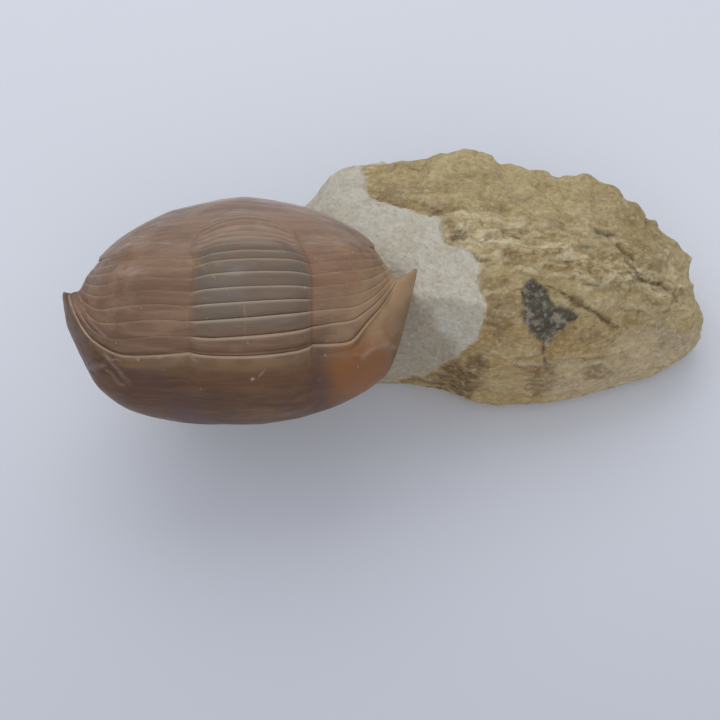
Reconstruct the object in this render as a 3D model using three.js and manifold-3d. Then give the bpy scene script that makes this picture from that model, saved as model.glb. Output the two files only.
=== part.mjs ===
// Half-enrolled asaphid trilobite on its limestone matrix.
// Units millimetres, +Z up, origin at the centre of the base of the whole piece.
// +X runs along the rock, away from the fossil; -Y is the side the head hangs over.
//
// The exoskeleton is ten separate plates that lap over one another like roof tiles:
// the cephalon (head shield), eight thoracic segments and the pygidium (tail shield).
// Each plate laps over the front of the plate behind it. The ninth body node is the
// limestone, which fills the underside of the animal and carries it.
import * as THREE from 'three';
import Module from 'manifold-3d';

// ---------------------------------------------------------------- driving dimensions
const PLATE_THICKNESS = 1.7;      // full thickness of a plate and the rock skin under it
const GAP = 0.3;                  // clearance between neighbouring solids
const LIP_THICKNESS = 0.62;       // thickness of the rear lip that laps over the next plate
const LIP_LENGTH = 0.62;          // how far the lip reaches over the next plate
const AXIS_HEIGHT = 2.4;          // rise of the axial lobe above the pleurae
const EYE_HEIGHT = 1.9;           // rise of each eye above the cheek
const THORACIC_SEGMENTS = 8;

// Section table of the exoskeleton, bottom of each row = left side, columns run from the
// left pleural tip (v = -7) over the axis (v = 0) to the right pleural tip (v = +7).
// Rows 0..6 cephalon (front margin to rear margin), 6..14 thoracic joints,
// 14..19 pygidium (front margin to rear margin). Points are x, y, z.
const SECTIONS = [
  [[-52.38,-6.57,31.96],[-52.07,-9.46,28.21],[-50.4,-12.25,23.37],[-46.28,-15.08,17.35],[-41.89,-15.74,13.51],[-35.96,-15.97,10.83],[-30.77,-16.02,9.88],[-25.01,-15.93,9.7],[-19.22,-15.59,10.13],[-14.25,-15.02,11.15],[-7.32,-14.04,14.48],[-1.84,-12.9,19.07],[0.63,-10.13,25.06],[1.96,-6.91,30.03],[3.07,-3.4,33.79]],
  [[-52.2,-6.82,32.29],[-51.92,-9.93,29.38],[-50.32,-13.21,25.3],[-46.74,-17.21,20.22],[-42.02,-19.03,16.72],[-35.71,-19.52,14.27],[-30.51,-19.63,13.42],[-24.6,-19.55,13.28],[-18.61,-19.14,13.68],[-13.62,-18.42,14.64],[-6.88,-17.08,17.69],[-1.59,-15.05,21.82],[0.57,-11.29,27.11],[1.72,-7.68,31.19],[2.66,-3.86,34.02]],
  [[-51.99,-7.05,32.58],[-51.66,-10.35,30.46],[-50.04,-14.02,27.13],[-46.73,-18.76,22.99],[-41.76,-21.28,19.99],[-35.27,-21.91,17.87],[-30.19,-22.03,17.17],[-24.18,-21.97,17.07],[-18.06,-21.51,17.44],[-13.16,-20.72,18.3],[-6.78,-19.19,20.94],[-1.79,-16.63,24.48],[0.21,-12.23,28.98],[1.31,-8.36,32.19],[2.2,-4.29,34.22]],
  [[-51.75,-7.25,32.84],[-51.31,-10.72,31.45],[-49.56,-14.69,28.84],[-46.25,-19.73,25.66],[-41.09,-22.48,23.31],[-34.66,-23.12,21.65],[-29.8,-23.24,21.13],[-23.76,-23.18,21.07],[-17.57,-22.7,21.4],[-12.88,-21.9,22.11],[-7.04,-20.36,24.24],[-2.45,-17.65,27.04],[-0.48,-12.94,30.67],[0.73,-8.96,33.05],[1.71,-4.69,34.36]],
  [[-51.48,-7.44,33.05],[-50.84,-11.03,32.35],[-48.87,-15.2,30.43],[-45.24,-20.04,28.22],[-39.98,-22.51,26.69],[-33.83,-23,25.62],[-29.34,-23.09,25.33],[-23.35,-23.04,25.32],[-17.15,-22.55,25.6],[-12.8,-21.81,26.11],[-7.7,-20.48,27.6],[-3.62,-18.03,29.48],[-1.51,-13.39,32.15],[-0.05,-9.46,33.74],[1.18,-5.07,34.47]],
  [[-51.17,-7.6,33.23],[-50.26,-11.28,33.14],[-47.96,-15.56,31.89],[-43.71,-19.71,30.66],[-38.43,-21.37,30.13],[-32.8,-21.58,29.77],[-28.82,-21.6,29.76],[-22.93,-21.56,29.8],[-16.8,-21.09,30.03],[-12.91,-20.49,30.29],[-8.75,-19.57,31],[-5.3,-17.78,31.82],[-2.89,-13.59,33.44],[-1.02,-9.86,34.26],[0.61,-5.42,34.52]],
  [[-50.83,-7.74,33.37],[-49.55,-11.48,33.83],[-46.82,-15.74,33.23],[-41.62,-18.67,32.99],[-36.39,-18.96,33.63],[-31.55,-18.73,34.13],[-28.22,-18.65,34.45],[-22.51,-18.63,34.55],[-16.52,-18.2,34.71],[-13.23,-17.82,34.66],[-10.23,-17.53,34.46],[-7.53,-16.84,34.04],[-4.65,-13.51,34.51],[-2.2,-10.15,34.6],[0,-5.74,34.52]],
  [[-50.6,-7.39,33.11],[-48.79,-11.48,33.84],[-45.78,-15.47,34.24],[-41.38,-17.29,35.52],[-36.32,-17.33,36.46],[-31.36,-17.58,36.75],[-28.05,-17.47,37.13],[-22.39,-17.19,37.4],[-16.44,-16.69,37.58],[-13.17,-16.35,37.45],[-10.2,-15.71,37.4],[-7.22,-14.89,36.91],[-4.36,-12.19,36.13],[-2.2,-9.1,35.21],[-0.38,-5.38,34.26]],
  [[-50.31,-7.05,32.72],[-48.21,-10.98,33.89],[-45.44,-14.15,35.27],[-41.28,-15.41,37.33],[-36.23,-15.55,38.28],[-31.28,-15.95,38.5],[-27.98,-15.85,38.91],[-22.33,-15.51,39.21],[-16.41,-15.01,39.39],[-13.15,-14.66,39.25],[-10.19,-14.2,39.06],[-7.07,-13.47,38.46],[-4.21,-11.01,37.08],[-2.35,-8.06,35.57],[-0.68,-4.84,34]],
  [[-49.94,-6.65,32.38],[-47.96,-10.03,34.11],[-45.15,-12.42,36.2],[-41.26,-13.4,38.63],[-36.21,-13.62,39.54],[-31.26,-14.03,39.77],[-27.96,-14,40.14],[-22.32,-13.73,40.41],[-16.4,-13.42,40.47],[-13.15,-13.19,40.25],[-10.18,-12.72,40.07],[-6.92,-11.92,39.49],[-4.21,-9.67,37.79],[-2.35,-6.98,35.87],[-1.05,-4.16,33.81]],
  [[-49.57,-5.91,32.23],[-47.72,-8.65,34.51],[-44.88,-10.59,36.99],[-41.14,-11.43,39.56],[-36.24,-11.71,40.42],[-31.14,-12.12,40.64],[-27.84,-12.08,41],[-22.34,-11.88,41.23],[-16.41,-11.7,41.22],[-13.15,-11.54,40.97],[-10.19,-11.07,40.79],[-6.92,-10.2,40.27],[-4.36,-8.24,38.35],[-2.65,-5.86,36.12],[-1.51,-3.35,33.71]],
  [[-49.19,-4.83,32.28],[-47.33,-7.24,34.87],[-44.65,-8.88,37.54],[-41.07,-9.55,40.1],[-36.16,-9.76,40.96],[-30.9,-10.09,41.2],[-27.59,-10.05,41.55],[-22.38,-9.85,41.77],[-16.58,-9.73,41.73],[-13.32,-9.64,41.46],[-10.2,-9.11,41.33],[-6.92,-8.39,40.78],[-4.51,-6.71,38.79],[-3.1,-4.72,36.33],[-1.97,-2.47,33.64]],
  [[-48.68,-3.62,32.28],[-46.8,-5.65,35.23],[-44.28,-7.07,37.96],[-40.87,-7.75,40.35],[-35.96,-7.92,41.15],[-30.53,-8.18,41.41],[-27.37,-8.06,41.77],[-22.44,-7.85,42],[-17.22,-7.81,41.92],[-13.94,-7.79,41.63],[-10.51,-7.27,41.53],[-7.22,-6.64,40.99],[-4.81,-5.23,39.02],[-3.4,-3.51,36.46],[-2.58,-1.39,33.57]],
  [[-48,-2.48,32.25],[-46.11,-4.39,35.42],[-43.9,-5.7,38.23],[-40.65,-6.41,40.51],[-35.74,-6.56,41.27],[-30,-6.81,41.51],[-27.13,-6.69,41.86],[-22.63,-6.47,42.08],[-18,-6.49,41.97],[-14.86,-6.55,41.66],[-11.12,-5.97,41.61],[-7.53,-5.37,41.11],[-5.11,-4.12,39.14],[-3.86,-2.52,36.5],[-3.12,-0.44,33.42]],
  [[-47.17,-1.19,32.3],[-45.57,-3.13,35.6],[-43.53,-4.44,38.39],[-40.45,-5.09,40.56],[-35.68,-5.21,41.28],[-29.62,-5.45,41.5],[-26.9,-5.32,41.84],[-22.83,-5.1,42.05],[-18.79,-5.19,41.91],[-16.09,-5.25,41.61],[-11.74,-4.69,41.58],[-8.13,-4.11,41.13],[-5.72,-2.99,39.23],[-4.47,-1.59,36.49],[-3.66,0.51,33.28]],
  [[-47.16,-1.1,32.35],[-45.69,-2.36,35.15],[-43.66,-2.92,37.58],[-40.62,-2.91,39.68],[-35.9,-2.37,40.71],[-29.94,-2.16,41.11],[-27.08,-1.89,41.46],[-23.21,-1.67,41.64],[-19.32,-1.79,41.52],[-16.38,-2,41.2],[-11.92,-1.91,40.97],[-8.16,-2.04,40.18],[-5.72,-1.59,38.35],[-4.44,-0.84,36.03],[-3.66,0.59,33.33]],
  [[-47.15,-1.02,32.39],[-45.78,-1.61,34.63],[-43.77,-1.44,36.63],[-40.75,-0.84,38.48],[-36.07,0.3,39.61],[-30.21,0.93,40.1],[-27.24,1.34,40.43],[-23.59,1.56,40.56],[-19.88,1.39,40.46],[-16.72,1.04,40.16],[-12.16,0.7,39.84],[-8.24,-0.06,38.93],[-5.76,-0.25,37.32],[-4.42,-0.12,35.49],[-3.66,0.66,33.36]],
  [[-47.14,-0.94,32.41],[-45.87,-0.89,34.04],[-43.85,-0.01,35.51],[-40.83,1.14,36.97],[-36.18,2.81,37.99],[-30.43,3.83,38.45],[-27.38,4.35,38.73],[-23.97,4.57,38.82],[-20.46,4.37,38.74],[-17.11,3.9,38.49],[-12.45,3.15,38.19],[-8.36,1.81,37.36],[-5.82,1.05,36.13],[-4.42,0.59,34.89],[-3.67,0.73,33.37]],
  [[-47.12,-0.87,32.41],[-45.93,-0.18,33.39],[-43.9,1.37,34.27],[-40.88,3.04,35.2],[-36.24,5.18,35.94],[-30.61,6.56,36.29],[-27.5,7.18,36.47],[-24.35,7.41,36.53],[-21.07,7.17,36.46],[-17.54,6.58,36.3],[-12.8,5.46,36.1],[-8.53,3.6,35.53],[-5.91,2.31,34.81],[-4.43,1.27,34.23],[-3.68,0.8,33.37]],
  [[-47.11,-0.8,32.41],[-45.99,0.52,32.7],[-43.93,2.73,32.95],[-40.89,4.88,33.26],[-36.26,7.47,33.6],[-30.76,9.18,33.78],[-27.6,9.91,33.85],[-24.73,10.13,33.87],[-21.68,9.85,33.82],[-17.99,9.16,33.77],[-13.18,7.69,33.73],[-8.71,5.34,33.53],[-6.02,3.54,33.41],[-4.45,1.95,33.53],[-3.69,0.86,33.37]],
];
const CEPHALON_REAR = 6, PYGIDIUM_FRONT = 14;

// Cross sections of the limestone: x, then a ring of y, z pairs that starts at the front
// of the base, climbs the front face, crosses the top and comes down the rear.
const ROCK = [
  [-44.52, [[-3.19,17],[-4.69,18],[-5.19,20],[-4.69,22],[-3.19,24],[-1.39,25.5],[0.61,26.5],[2.41,26.5],[3.41,24.5],[3.01,21.5],[1.61,18.8],[-0.79,17.2]]],
  [-41.02, [[-4.69,11],[-7.19,13],[-8.19,16],[-7.19,19],[-4.69,22],[-1.69,24.5],[1.31,26],[4.31,26],[6.31,22.5],[6.31,17],[3.81,12.5],[-0.19,11]]],
  [-37.02, [[-5.19,4],[-8.19,8],[-9.19,13],[-7.69,17],[-4.69,20.5],[-1.69,23],[1.81,24.5],[5.31,24],[7.81,20],[8.31,13],[5.81,6],[0.81,4]]],
  [-33.02, [[-6.19,0],[-8.59,4],[-9.59,9],[-7.69,14],[-4.69,18],[-1.69,20],[1.81,21],[4.81,20],[7.31,15],[8.41,8],[7.41,0],[0.81,0]]],
  [-30.02, [[-8.59,0],[-10.59,4],[-10.79,10],[-8.69,16],[-5.69,21],[-1.69,23.5],[2.81,24.5],[6.81,23],[9.81,17],[10.81,9],[9.81,0],[0.81,0]]],
  [-24.02, [[-9.19,0],[-10.99,4],[-10.59,11],[-8.39,17],[-5.19,22],[-1.19,25],[3.81,26],[8.31,25.5],[11.41,19],[12.21,9],[11.21,0],[0.81,0]]],
  [-18.52, [[-8.39,0],[-9.99,4],[-9.59,12],[-7.79,18],[-4.69,23],[-0.19,26],[4.81,27.5],[9.81,27],[13.21,20],[14.21,9],[13.01,0],[1.81,0]]],
  [-14.02, [[-6.59,0],[-7.99,4],[-8.19,12],[-6.79,19],[-4.69,24],[0.81,28],[7.81,29.6],[14.61,26.6],[16.81,20],[17.21,9],[15.81,0],[3.81,0]]],
  [-11.02, [[-5.59,0],[-6.99,4],[-7.59,12],[-6.59,20],[-5.19,26],[1.81,30],[10.81,30.6],[18.41,27.2],[20.01,20],[19.81,9],[18.41,0],[5.81,0]]],
  [-7.02, [[-5.39,0],[-6.59,4],[-7.39,12],[-6.79,20],[-5.59,27],[1.81,31],[11.81,30.8],[20.81,28],[22.21,20],[22.01,9],[20.41,0],[6.81,0]]],
  [-2.02, [[-5.29,0],[-6.79,4],[-7.59,12],[-7.39,21],[-5.79,28.5],[2.31,31.2],[12.81,30.2],[21.81,28.2],[23.41,20],[23.01,9],[21.41,0],[6.81,0]]],
  [2.98, [[-5.39,0],[-7.19,4],[-7.79,12],[-7.59,21],[-6.19,29.6],[2.81,31.2],[12.81,30.2],[22.41,28.6],[24.21,20],[23.81,9],[22.01,0],[6.81,0]]],
  [7.98, [[-6.39,0],[-8.19,4],[-8.59,12],[-7.99,21],[-5.99,29],[2.81,30.4],[12.81,29.8],[22.81,28.6],[24.81,20],[24.21,9],[22.41,0],[6.81,0]]],
  [13.98, [[-8.39,0],[-10.59,3.6],[-10.49,12],[-9.19,21],[-6.59,28],[2.81,29.4],[12.81,29.2],[22.81,28.2],[25.01,20],[24.61,9],[22.81,0],[6.81,0]]],
  [19.98, [[-9.19,0],[-11.29,3.4],[-11.19,11],[-9.59,20],[-6.19,27],[2.31,28.6],[12.81,28],[21.81,26.8],[24.61,19],[24.41,9],[23.01,0],[6.81,0]]],
  [25.98, [[-8.59,0],[-10.49,3.4],[-10.79,11],[-8.99,19],[-4.79,25.6],[2.81,27.2],[11.81,27],[20.01,26],[23.61,19],[24.01,9],[22.61,0],[6.81,0]]],
  [31.98, [[-7.39,0],[-9.29,3.2],[-9.59,10],[-7.79,18],[-3.19,24.4],[3.81,26],[12.81,26],[20.81,25.2],[23.61,18],[23.61,9],[22.21,0],[7.81,0]]],
  [36.98, [[-5.89,0],[-7.69,3.2],[-7.89,10],[-5.99,17],[-1.59,22.6],[4.81,24.6],[12.31,24.8],[19.61,24],[22.61,17],[22.81,8],[21.41,0],[7.81,0]]],
  [41.98, [[-3.99,0],[-5.79,3],[-5.99,9],[-4.19,15.5],[0.01,20.4],[5.31,22.6],[11.31,23],[17.21,22],[20.81,15],[21.41,7],[20.01,0],[7.81,0]]],
  [46.48, [[-1.99,0],[-3.99,3],[-3.99,8],[-2.19,14],[1.21,18.4],[5.81,20.2],[10.31,20.4],[14.41,19.4],[18.01,13],[19.21,6],[17.81,0],[8.31,0]]],
  [49.98, [[0.81,0],[-1.59,3],[-1.59,7],[0.01,12],[2.81,15.6],[6.31,17],[9.31,16.8],[12.21,15.6],[15.41,10.5],[16.41,5],[15.01,0],[8.31,0]]],
  [52.38, [[3.81,0],[1.61,3],[1.61,6.2],[2.61,9.6],[4.41,12.2],[6.81,13.2],[8.81,13],[10.81,12],[12.61,8.6],[13.21,4.6],[12.01,0],[8.11,0]]],
];

const FAN_START = 4.9, FAN_END = 6.5;   // columns over which the pleural tips gather into a fan
const FAN_THIN = 0.55;                  // share of the plate thickness lost at the very tips
const smooth = x => { const t = Math.min(1, Math.max(0, x)); return t * t * (3 - 2 * t); };

// ---------------------------------------------------------------- spline helpers
const NCOL = 15;
function pchipSlopes(y) {               // unit knot spacing, shape preserving
  const n = y.length, d = [], m = new Array(n).fill(0);
  for (let i = 0; i < n - 1; i++) d.push(y[i + 1] - y[i]);
  for (let i = 1; i < n - 1; i++) m[i] = d[i - 1] * d[i] > 0 ? 2 * d[i - 1] * d[i] / (d[i - 1] + d[i]) : 0;
  const end = (a, b) => {
    let s = (3 * a - b) / 2;
    if (s * a <= 0) s = 0; else if (a * b <= 0 && Math.abs(s) > 3 * Math.abs(a)) s = 3 * a;
    return s;
  };
  m[0] = end(d[0], d[1]); m[n - 1] = end(d[n - 2], d[n - 3]);
  return m;
}
function hermite(y, m, v) {             // v in -7..7
  let t = v + 7, i = Math.min(NCOL - 2, Math.max(0, Math.floor(t))); t -= i;
  const t2 = t * t, t3 = t2 * t;
  return (2 * t3 - 3 * t2 + 1) * y[i] + (t3 - 2 * t2 + t) * m[i] + (-2 * t3 + 3 * t2) * y[i + 1] + (t3 - t2) * m[i + 1];
}
function naturalSecond(x, y) {          // second derivatives of the natural cubic spline
  const n = x.length, M = new Array(n).fill(0), c = [], d = [];
  c[0] = 0; d[0] = 0;
  for (let i = 1; i < n - 1; i++) {
    const h0 = x[i] - x[i - 1], h1 = x[i + 1] - x[i];
    const r = 6 * ((y[i + 1] - y[i]) / h1 - (y[i] - y[i - 1]) / h0);
    const den = 2 * (h0 + h1) - h0 * c[i - 1];
    c[i] = h1 / den; d[i] = (r - h0 * d[i - 1]) / den;
  }
  for (let i = n - 2; i > 0; i--) M[i] = d[i] - c[i] * M[i + 1];
  return M;
}
function natural(x, y, M, u) {
  let i = 0; while (i < x.length - 2 && u > x[i + 1]) i++;
  const h = x[i + 1] - x[i], a = (x[i + 1] - u) / h, b = (u - x[i]) / h;
  return a * y[i] + b * y[i + 1] + ((a * a * a - a) * M[i] + (b * b * b - b) * M[i + 1]) * h * h / 6;
}

// station values u of the rows: mean distance between rows over the middle of the back
const U = [0];
for (let r = 1; r < SECTIONS.length; r++) {
  let s = 0;
  for (let j = 5; j < 10; j++) s += Math.hypot(...[0, 1, 2].map(k => SECTIONS[r][j][k] - SECTIONS[r - 1][j][k]));
  U.push(U[r - 1] + s / 5);
}
const UEND = U[U.length - 1];
const slopes = SECTIONS.map(row => [0, 1, 2].map(k => pchipSlopes(row.map(p => p[k]))));
const columnCache = new Map();
function column(v) {
  const key = v.toFixed(5);
  if (!columnCache.has(key)) {
    columnCache.set(key, [0, 1, 2].map(k => {
      const y = SECTIONS.map((row, r) => hermite(row.map(p => p[k]), slopes[r][k], v));
      return [y, naturalSecond(U, y)];
    }));
  }
  return columnCache.get(key);
}
const base = (u, v) => new THREE.Vector3(...column(v).map(([y, M]) => natural(U, y, M, u)));
function normal(u, v) {
  const uu = Math.min(UEND - 0.4, Math.max(0.4, u)), vv = Math.min(6.6, Math.max(-6.6, v)), e = 0.05;
  const du = base(uu + e, vv).sub(base(uu - e, vv)), dv = base(uu, vv + e).sub(base(uu, vv - e));
  const n = dv.cross(du).normalize();
  // the pleural tips close up like a fan: there every plate is given one shared facing
  const b = smooth((Math.abs(v) - FAN_START) / (FAN_END - FAN_START));
  return n.lerp(new THREE.Vector3(Math.sign(v) * 0.72, -0.236, 0.649), b).normalize();
}

// ---------------------------------------------------------------- relief on the shell
const lerpTable = (t, x) => {
  if (x <= t[0][0]) return t[0][1];
  for (let i = 1; i < t.length; i++) if (x <= t[i][0]) {
    const f = (x - t[i - 1][0]) / (t[i][0] - t[i - 1][0]), g = f * f * (3 - 2 * f);
    return t[i - 1][1] * (1 - g) + t[i][1] * g;
  }
  return t[t.length - 1][1];
};
// half width of the axial lobe in columns, and its height as a share of AXIS_HEIGHT
const AXIS_WIDTH = [[0, 2.3], [5, 2.35], [9, 2.3], [15, 2.05], [21, 1.95], [27.7, 2.0], [44.4, 2.02]];
const AXIS_RISE = [[0, 0], [2, 0.06], [5, 0.36], [10, 0.6], [16, 0.75], [22, 0.9], [27.7, 1], [44.4, 1]];
const PYGIDIUM_AXIS_LENGTH = 10.5;
const EYES = [{ u: 16.5, v: 4.62, ru: 7.6, rv: 0.46 }, { u: 18.2, v: -4.38, ru: 7.6, rv: 0.46 }];
function relief(u, v) {
  let w = lerpTable(AXIS_WIDTH, u), h = lerpTable(AXIS_RISE, u);
  if (u > U[PYGIDIUM_FRONT]) {
    const x = Math.min(1, (u - U[PYGIDIUM_FRONT]) / PYGIDIUM_AXIS_LENGTH);
    w *= Math.pow(1 - x * x, 0.6) + 1e-3; h *= Math.pow(1 - x * x, 0.55);
  }
  const t = Math.abs(v) / w;
  let d = t < 1 ? AXIS_HEIGHT * h * (1 - Math.pow(t, 2.6)) : 0;
  for (const e of EYES) {
    const q = Math.hypot((u - e.u) / e.ru, (v - e.v) / e.rv);
    if (q < 1) d += EYE_HEIGHT * Math.pow(1 - q * q, 1.1);
  }
  return d;
}
// point at station u, column v, sunk by depth below the finished outer surface
const thin = v => 1 - FAN_THIN * smooth((Math.abs(v) - 4.4) / 2.4);
const point = (u, v, depth) => base(u, v).addScaledVector(normal(u, v), relief(u, v) - depth * thin(v));

// ---------------------------------------------------------------- solid builders
const V_STEPS = [-7, -6.6, -6.1, -5.6, -5.1, -4.75, -4.4, -4.05, -3.6, -3, -2.5, -2.1, -1.9, -1.5, -0.8, 0,
  0.8, 1.5, 1.9, 2.1, 2.5, 3, 3.6, 4.05, 4.4, 4.75, 5.1, 5.6, 6.1, 6.6, 7];

// close both ends of a tube of rings; the tube's sides run a -> b along ring order
function closeEnds(idx, ring, last) {
  const pts = ring.map(([p, q]) => new THREE.Vector2(p, q)), turn = Math.sign(THREE.ShapeUtils.area(pts));
  for (const [a, b, c] of THREE.ShapeUtils.triangulateShape(pts, [])) {
    const same = Math.sign(THREE.ShapeUtils.area([pts[a], pts[b], pts[c]])) === turn;
    if (same) idx.push(a, c, b, last + a, last + b, last + c); else idx.push(a, b, c, last + a, last + c, last + b);
  }
}
// sweep a closed ring of (u, depth) pairs from the left tip to the right tip
function sweep(ring, vs) {
  const pos = [], idx = [], n = ring.length;
  for (const v of vs) for (const [u, depth] of ring) pos.push(...point(u, v, depth).toArray());
  for (let j = 0; j < vs.length - 1; j++) for (let i = 0; i < n; i++) {
    const a = j * n + i, b = j * n + (i + 1) % n, c = a + n, d = b + n;
    idx.push(a, b, c, b, d, c);
  }
  closeEnds(idx, ring, (vs.length - 1) * n);
  const g = new THREE.BufferGeometry();
  g.setAttribute('position', new THREE.Float32BufferAttribute(pos, 3));
  g.setIndex(idx);
  return outward(g);
}
function volume(g) {
  const p = g.attributes.position, ix = g.index.array; let s = 0;
  const a = new THREE.Vector3(), b = new THREE.Vector3(), c = new THREE.Vector3();
  for (let i = 0; i < ix.length; i += 3) {
    a.fromBufferAttribute(p, ix[i]); b.fromBufferAttribute(p, ix[i + 1]); c.fromBufferAttribute(p, ix[i + 2]);
    s += a.dot(b.cross(c)) / 6;
  }
  return s;
}
function outward(g) {
  if (volume(g) < 0) {
    const ix = g.index.array;
    for (let i = 0; i < ix.length; i += 3) { const t = ix[i]; ix[i] = ix[i + 1]; ix[i + 1] = t; }
  }
  return g;
}

// a closed dome: grid at one depth, closed below by a fan to one point
function dome(us, vs, depth, apex, spread) {
  const pos = [], idx = [], nu = us.length, nv = vs.length;
  for (let i = 0; i < nu; i++) for (let j = 0; j < nv; j++) {
    const p = point(us[i], vs[j], depth);
    if (spread) {
      const side = new THREE.Vector3();
      if (i === 0) side.add(base(us[0], vs[j]).sub(base(us[0] + 0.5, vs[j])).normalize());
      if (i === nu - 1) side.add(base(us[nu - 1], vs[j]).sub(base(us[nu - 1] - 0.5, vs[j])).normalize());
      if (j === 0) side.add(base(us[i], -6.6).sub(base(us[i], -6.2)).normalize());
      if (j === nv - 1) side.add(base(us[i], 6.6).sub(base(us[i], 6.2)).normalize());
      if (side.lengthSq() > 0) p.addScaledVector(side.normalize(), spread);
    }
    pos.push(...p.toArray());
  }
  for (let i = 0; i < nu - 1; i++) for (let j = 0; j < nv - 1; j++) {
    const a = i * nv + j, b = a + 1, c = a + nv, d = c + 1;
    idx.push(a, b, c, b, d, c);
  }
  const apexIndex = nu * nv; pos.push(...apex);
  const loop = [];
  for (let j = 0; j < nv - 1; j++) loop.push(j);
  for (let i = 0; i < nu - 1; i++) loop.push(i * nv + nv - 1);
  for (let j = nv - 1; j > 0; j--) loop.push((nu - 1) * nv + j);
  for (let i = nu - 1; i > 0; i--) loop.push(i * nv);
  for (let k = 0; k < loop.length; k++) idx.push(loop[(k + 1) % loop.length], loop[k], apexIndex);
  const g = new THREE.BufferGeometry();
  g.setAttribute('position', new THREE.Float32BufferAttribute(pos, 3));
  g.setIndex(idx);
  return outward(g);
}

// the rock: a loft through the section rings
function loft(sections) {
  const pos = [], idx = [], n = sections[0][1].length;
  for (const [x, ring] of sections) for (const [y, z] of ring) pos.push(x, y, z);
  for (let s = 0; s < sections.length - 1; s++) for (let i = 0; i < n; i++) {
    const a = s * n + i, b = s * n + (i + 1) % n, c = a + n, d = b + n;
    idx.push(a, b, c, b, d, c);
  }
  closeEnds(idx, sections[0][1], (sections.length - 1) * n);
  const g = new THREE.BufferGeometry();
  g.setAttribute('position', new THREE.Float32BufferAttribute(pos, 3));
  g.setIndex(idx);
  return outward(g);
}

// ---------------------------------------------------------------- booleans
const wasm = await Module();
wasm.setup();
const toSolid = g => new wasm.Manifold(new wasm.Mesh({
  numProp: 3, vertProperties: new Float32Array(g.attributes.position.array), triVerts: new Uint32Array(g.index.array),
}));
function toGeometry(solid) {
  const m = solid.getMesh(), g = new THREE.BufferGeometry();
  const p = new Float32Array(m.numVert * 3);
  for (let i = 0; i < m.numVert; i++) for (let k = 0; k < 3; k++) p[i * 3 + k] = m.vertProperties[i * m.numProp + k];
  g.setAttribute('position', new THREE.BufferAttribute(p, 3));
  g.setIndex(Array.from(m.triVerts));
  return g;
}

// ---------------------------------------------------------------- materials
const shell = (hex, rough) => new THREE.MeshStandardMaterial({ color: hex, roughness: rough, metalness: 0 });
const headCalcite = shell(0x5f4837, 0.42), bodyCalcite = shell(0x7d6a5a, 0.45), tailCalcite = shell(0x7a6353, 0.45);
const limestone = shell(0xb0a88e, 0.9);

const fossil = new THREE.Group();
fossil.name = 'trilobite_fossil';
function add(name, geometry, material) {
  const g = geometry.index ? geometry.toNonIndexed() : geometry;
  g.computeVertexNormals();
  const mesh = new THREE.Mesh(geometry, material);
  mesh.geometry.computeVertexNormals();
  mesh.name = name;
  fossil.add(mesh);
  return mesh;
}

// rear end of a plate at station ub: outer lip edge, underside of the lip, body wall
const T = PLATE_THICKNESS, half = GAP / 2;
const rearEnd = (ub, s) => [[ub - half * s, 0], [ub - half * s, LIP_THICKNESS], [ub - (half + LIP_LENGTH) * s, LIP_THICKNESS], [ub - (half + LIP_LENGTH) * s, T]];
// front end of a plate at station ua: tongue under the lip of the plate ahead, then the step up
const frontEnd = (ua, s) => [[ua - (half + LIP_LENGTH - GAP) * s, T], [ua - (half + LIP_LENGTH - GAP) * s, LIP_THICKNESS + GAP], [ua + half * s, LIP_THICKNESS + GAP], [ua + half * s, 0.12]];

// cephalon
{
  const ub = U[CEPHALON_REAR], ring = [];
  for (const u of [0, 1.6, 3.4, 5.4, 7.6, 9.8, 12, 14.2, 16.4, 18.6, 20.8, 23, 25.4]) ring.push([u, 0]);
  ring.push(...rearEnd(ub, 1));
  for (const u of [24, 20.4, 16.8, 13.2, 9.6, 6.4, 3.6, 1.0]) ring.push([u, T]);
  ring.push([0.15, 0.9]);
  add('cephalon', sweep(ring, V_STEPS), headCalcite);
}
// thoracic segments, 1 behind the cephalon, 8 in front of the pygidium
for (let k = 1; k <= THORACIC_SEGMENTS; k++) {
  const ua = U[CEPHALON_REAR + k - 1], ub = U[CEPHALON_REAR + k], s = 1;
  const ring = [...frontEnd(ua, s), [(ua * 0.45 + ub * 0.55), 0], ...rearEnd(ub, s)];
  add('thoracic_segment_' + k, sweep(ring, V_STEPS), bodyCalcite);
}
// pygidium
{
  const ua = U[PYGIDIUM_FRONT], ring = [...frontEnd(ua, 1)];
  for (const u of [46.2, 48.2, 50.2, 52.2, 54.2, 56.4, 58.6, 60.4]) ring.push([u, 0]);
  ring.push([UEND, 0.05], [UEND - 0.1, 0.9], [UEND - 1.0, T]);
  for (const u of [57, 53, 49.4, 46.4]) ring.push([u, T]);
  add('pygidium', sweep(ring, V_STEPS), tailCalcite);
}
// limestone: block cut back from the animal, plus the infill under its plates
{
  const uOut = [0, 3.4, 7.6, 12, 16.4, 20.8, U[6], U[8], U[10], U[12], U[14], 48.2, 52.2, 56.4, UEND];
  const uIn = [1.4, 3.6, 6.4, 9.6, 13.2, 16.8, 20.4, 24, U[6] - 0.6, U[7] - 0.6, U[8] - 0.6, U[9] - 0.6, U[10] - 0.6, U[11] - 0.6, U[12] - 0.6, U[13] - 0.6, U[14] - 0.6, 46.4, 49.4, 53, 57, UEND - 1.3];
  const vOut = [-7, -6.1, -5.1, -4.4, -3.6, -2.5, -2, -1.2, 0, 1.2, 2, 2.5, 3.6, 4.4, 5.1, 6.1, 7];
  const vIn = V_STEPS.map(v => Math.abs(v) === 7 ? Math.sign(v) * 6.8 : v);
  const space = toSolid(dome(uOut, vOut, -GAP, [-25.02, -4.19, 17.5], GAP + 0.15));
  const infill = toSolid(dome(uIn, vIn, T + GAP + 0.3, [-25.02, -3.19, 10], 0));
  const block = toSolid(loft(ROCK));
  const joined = block.subtract(space).add(infill);
  const parts = joined.decompose().sort((a, b) => b.volume() - a.volume());
  add('matrix', toGeometry(parts[0]), limestone);
}
export default fossil;
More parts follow.
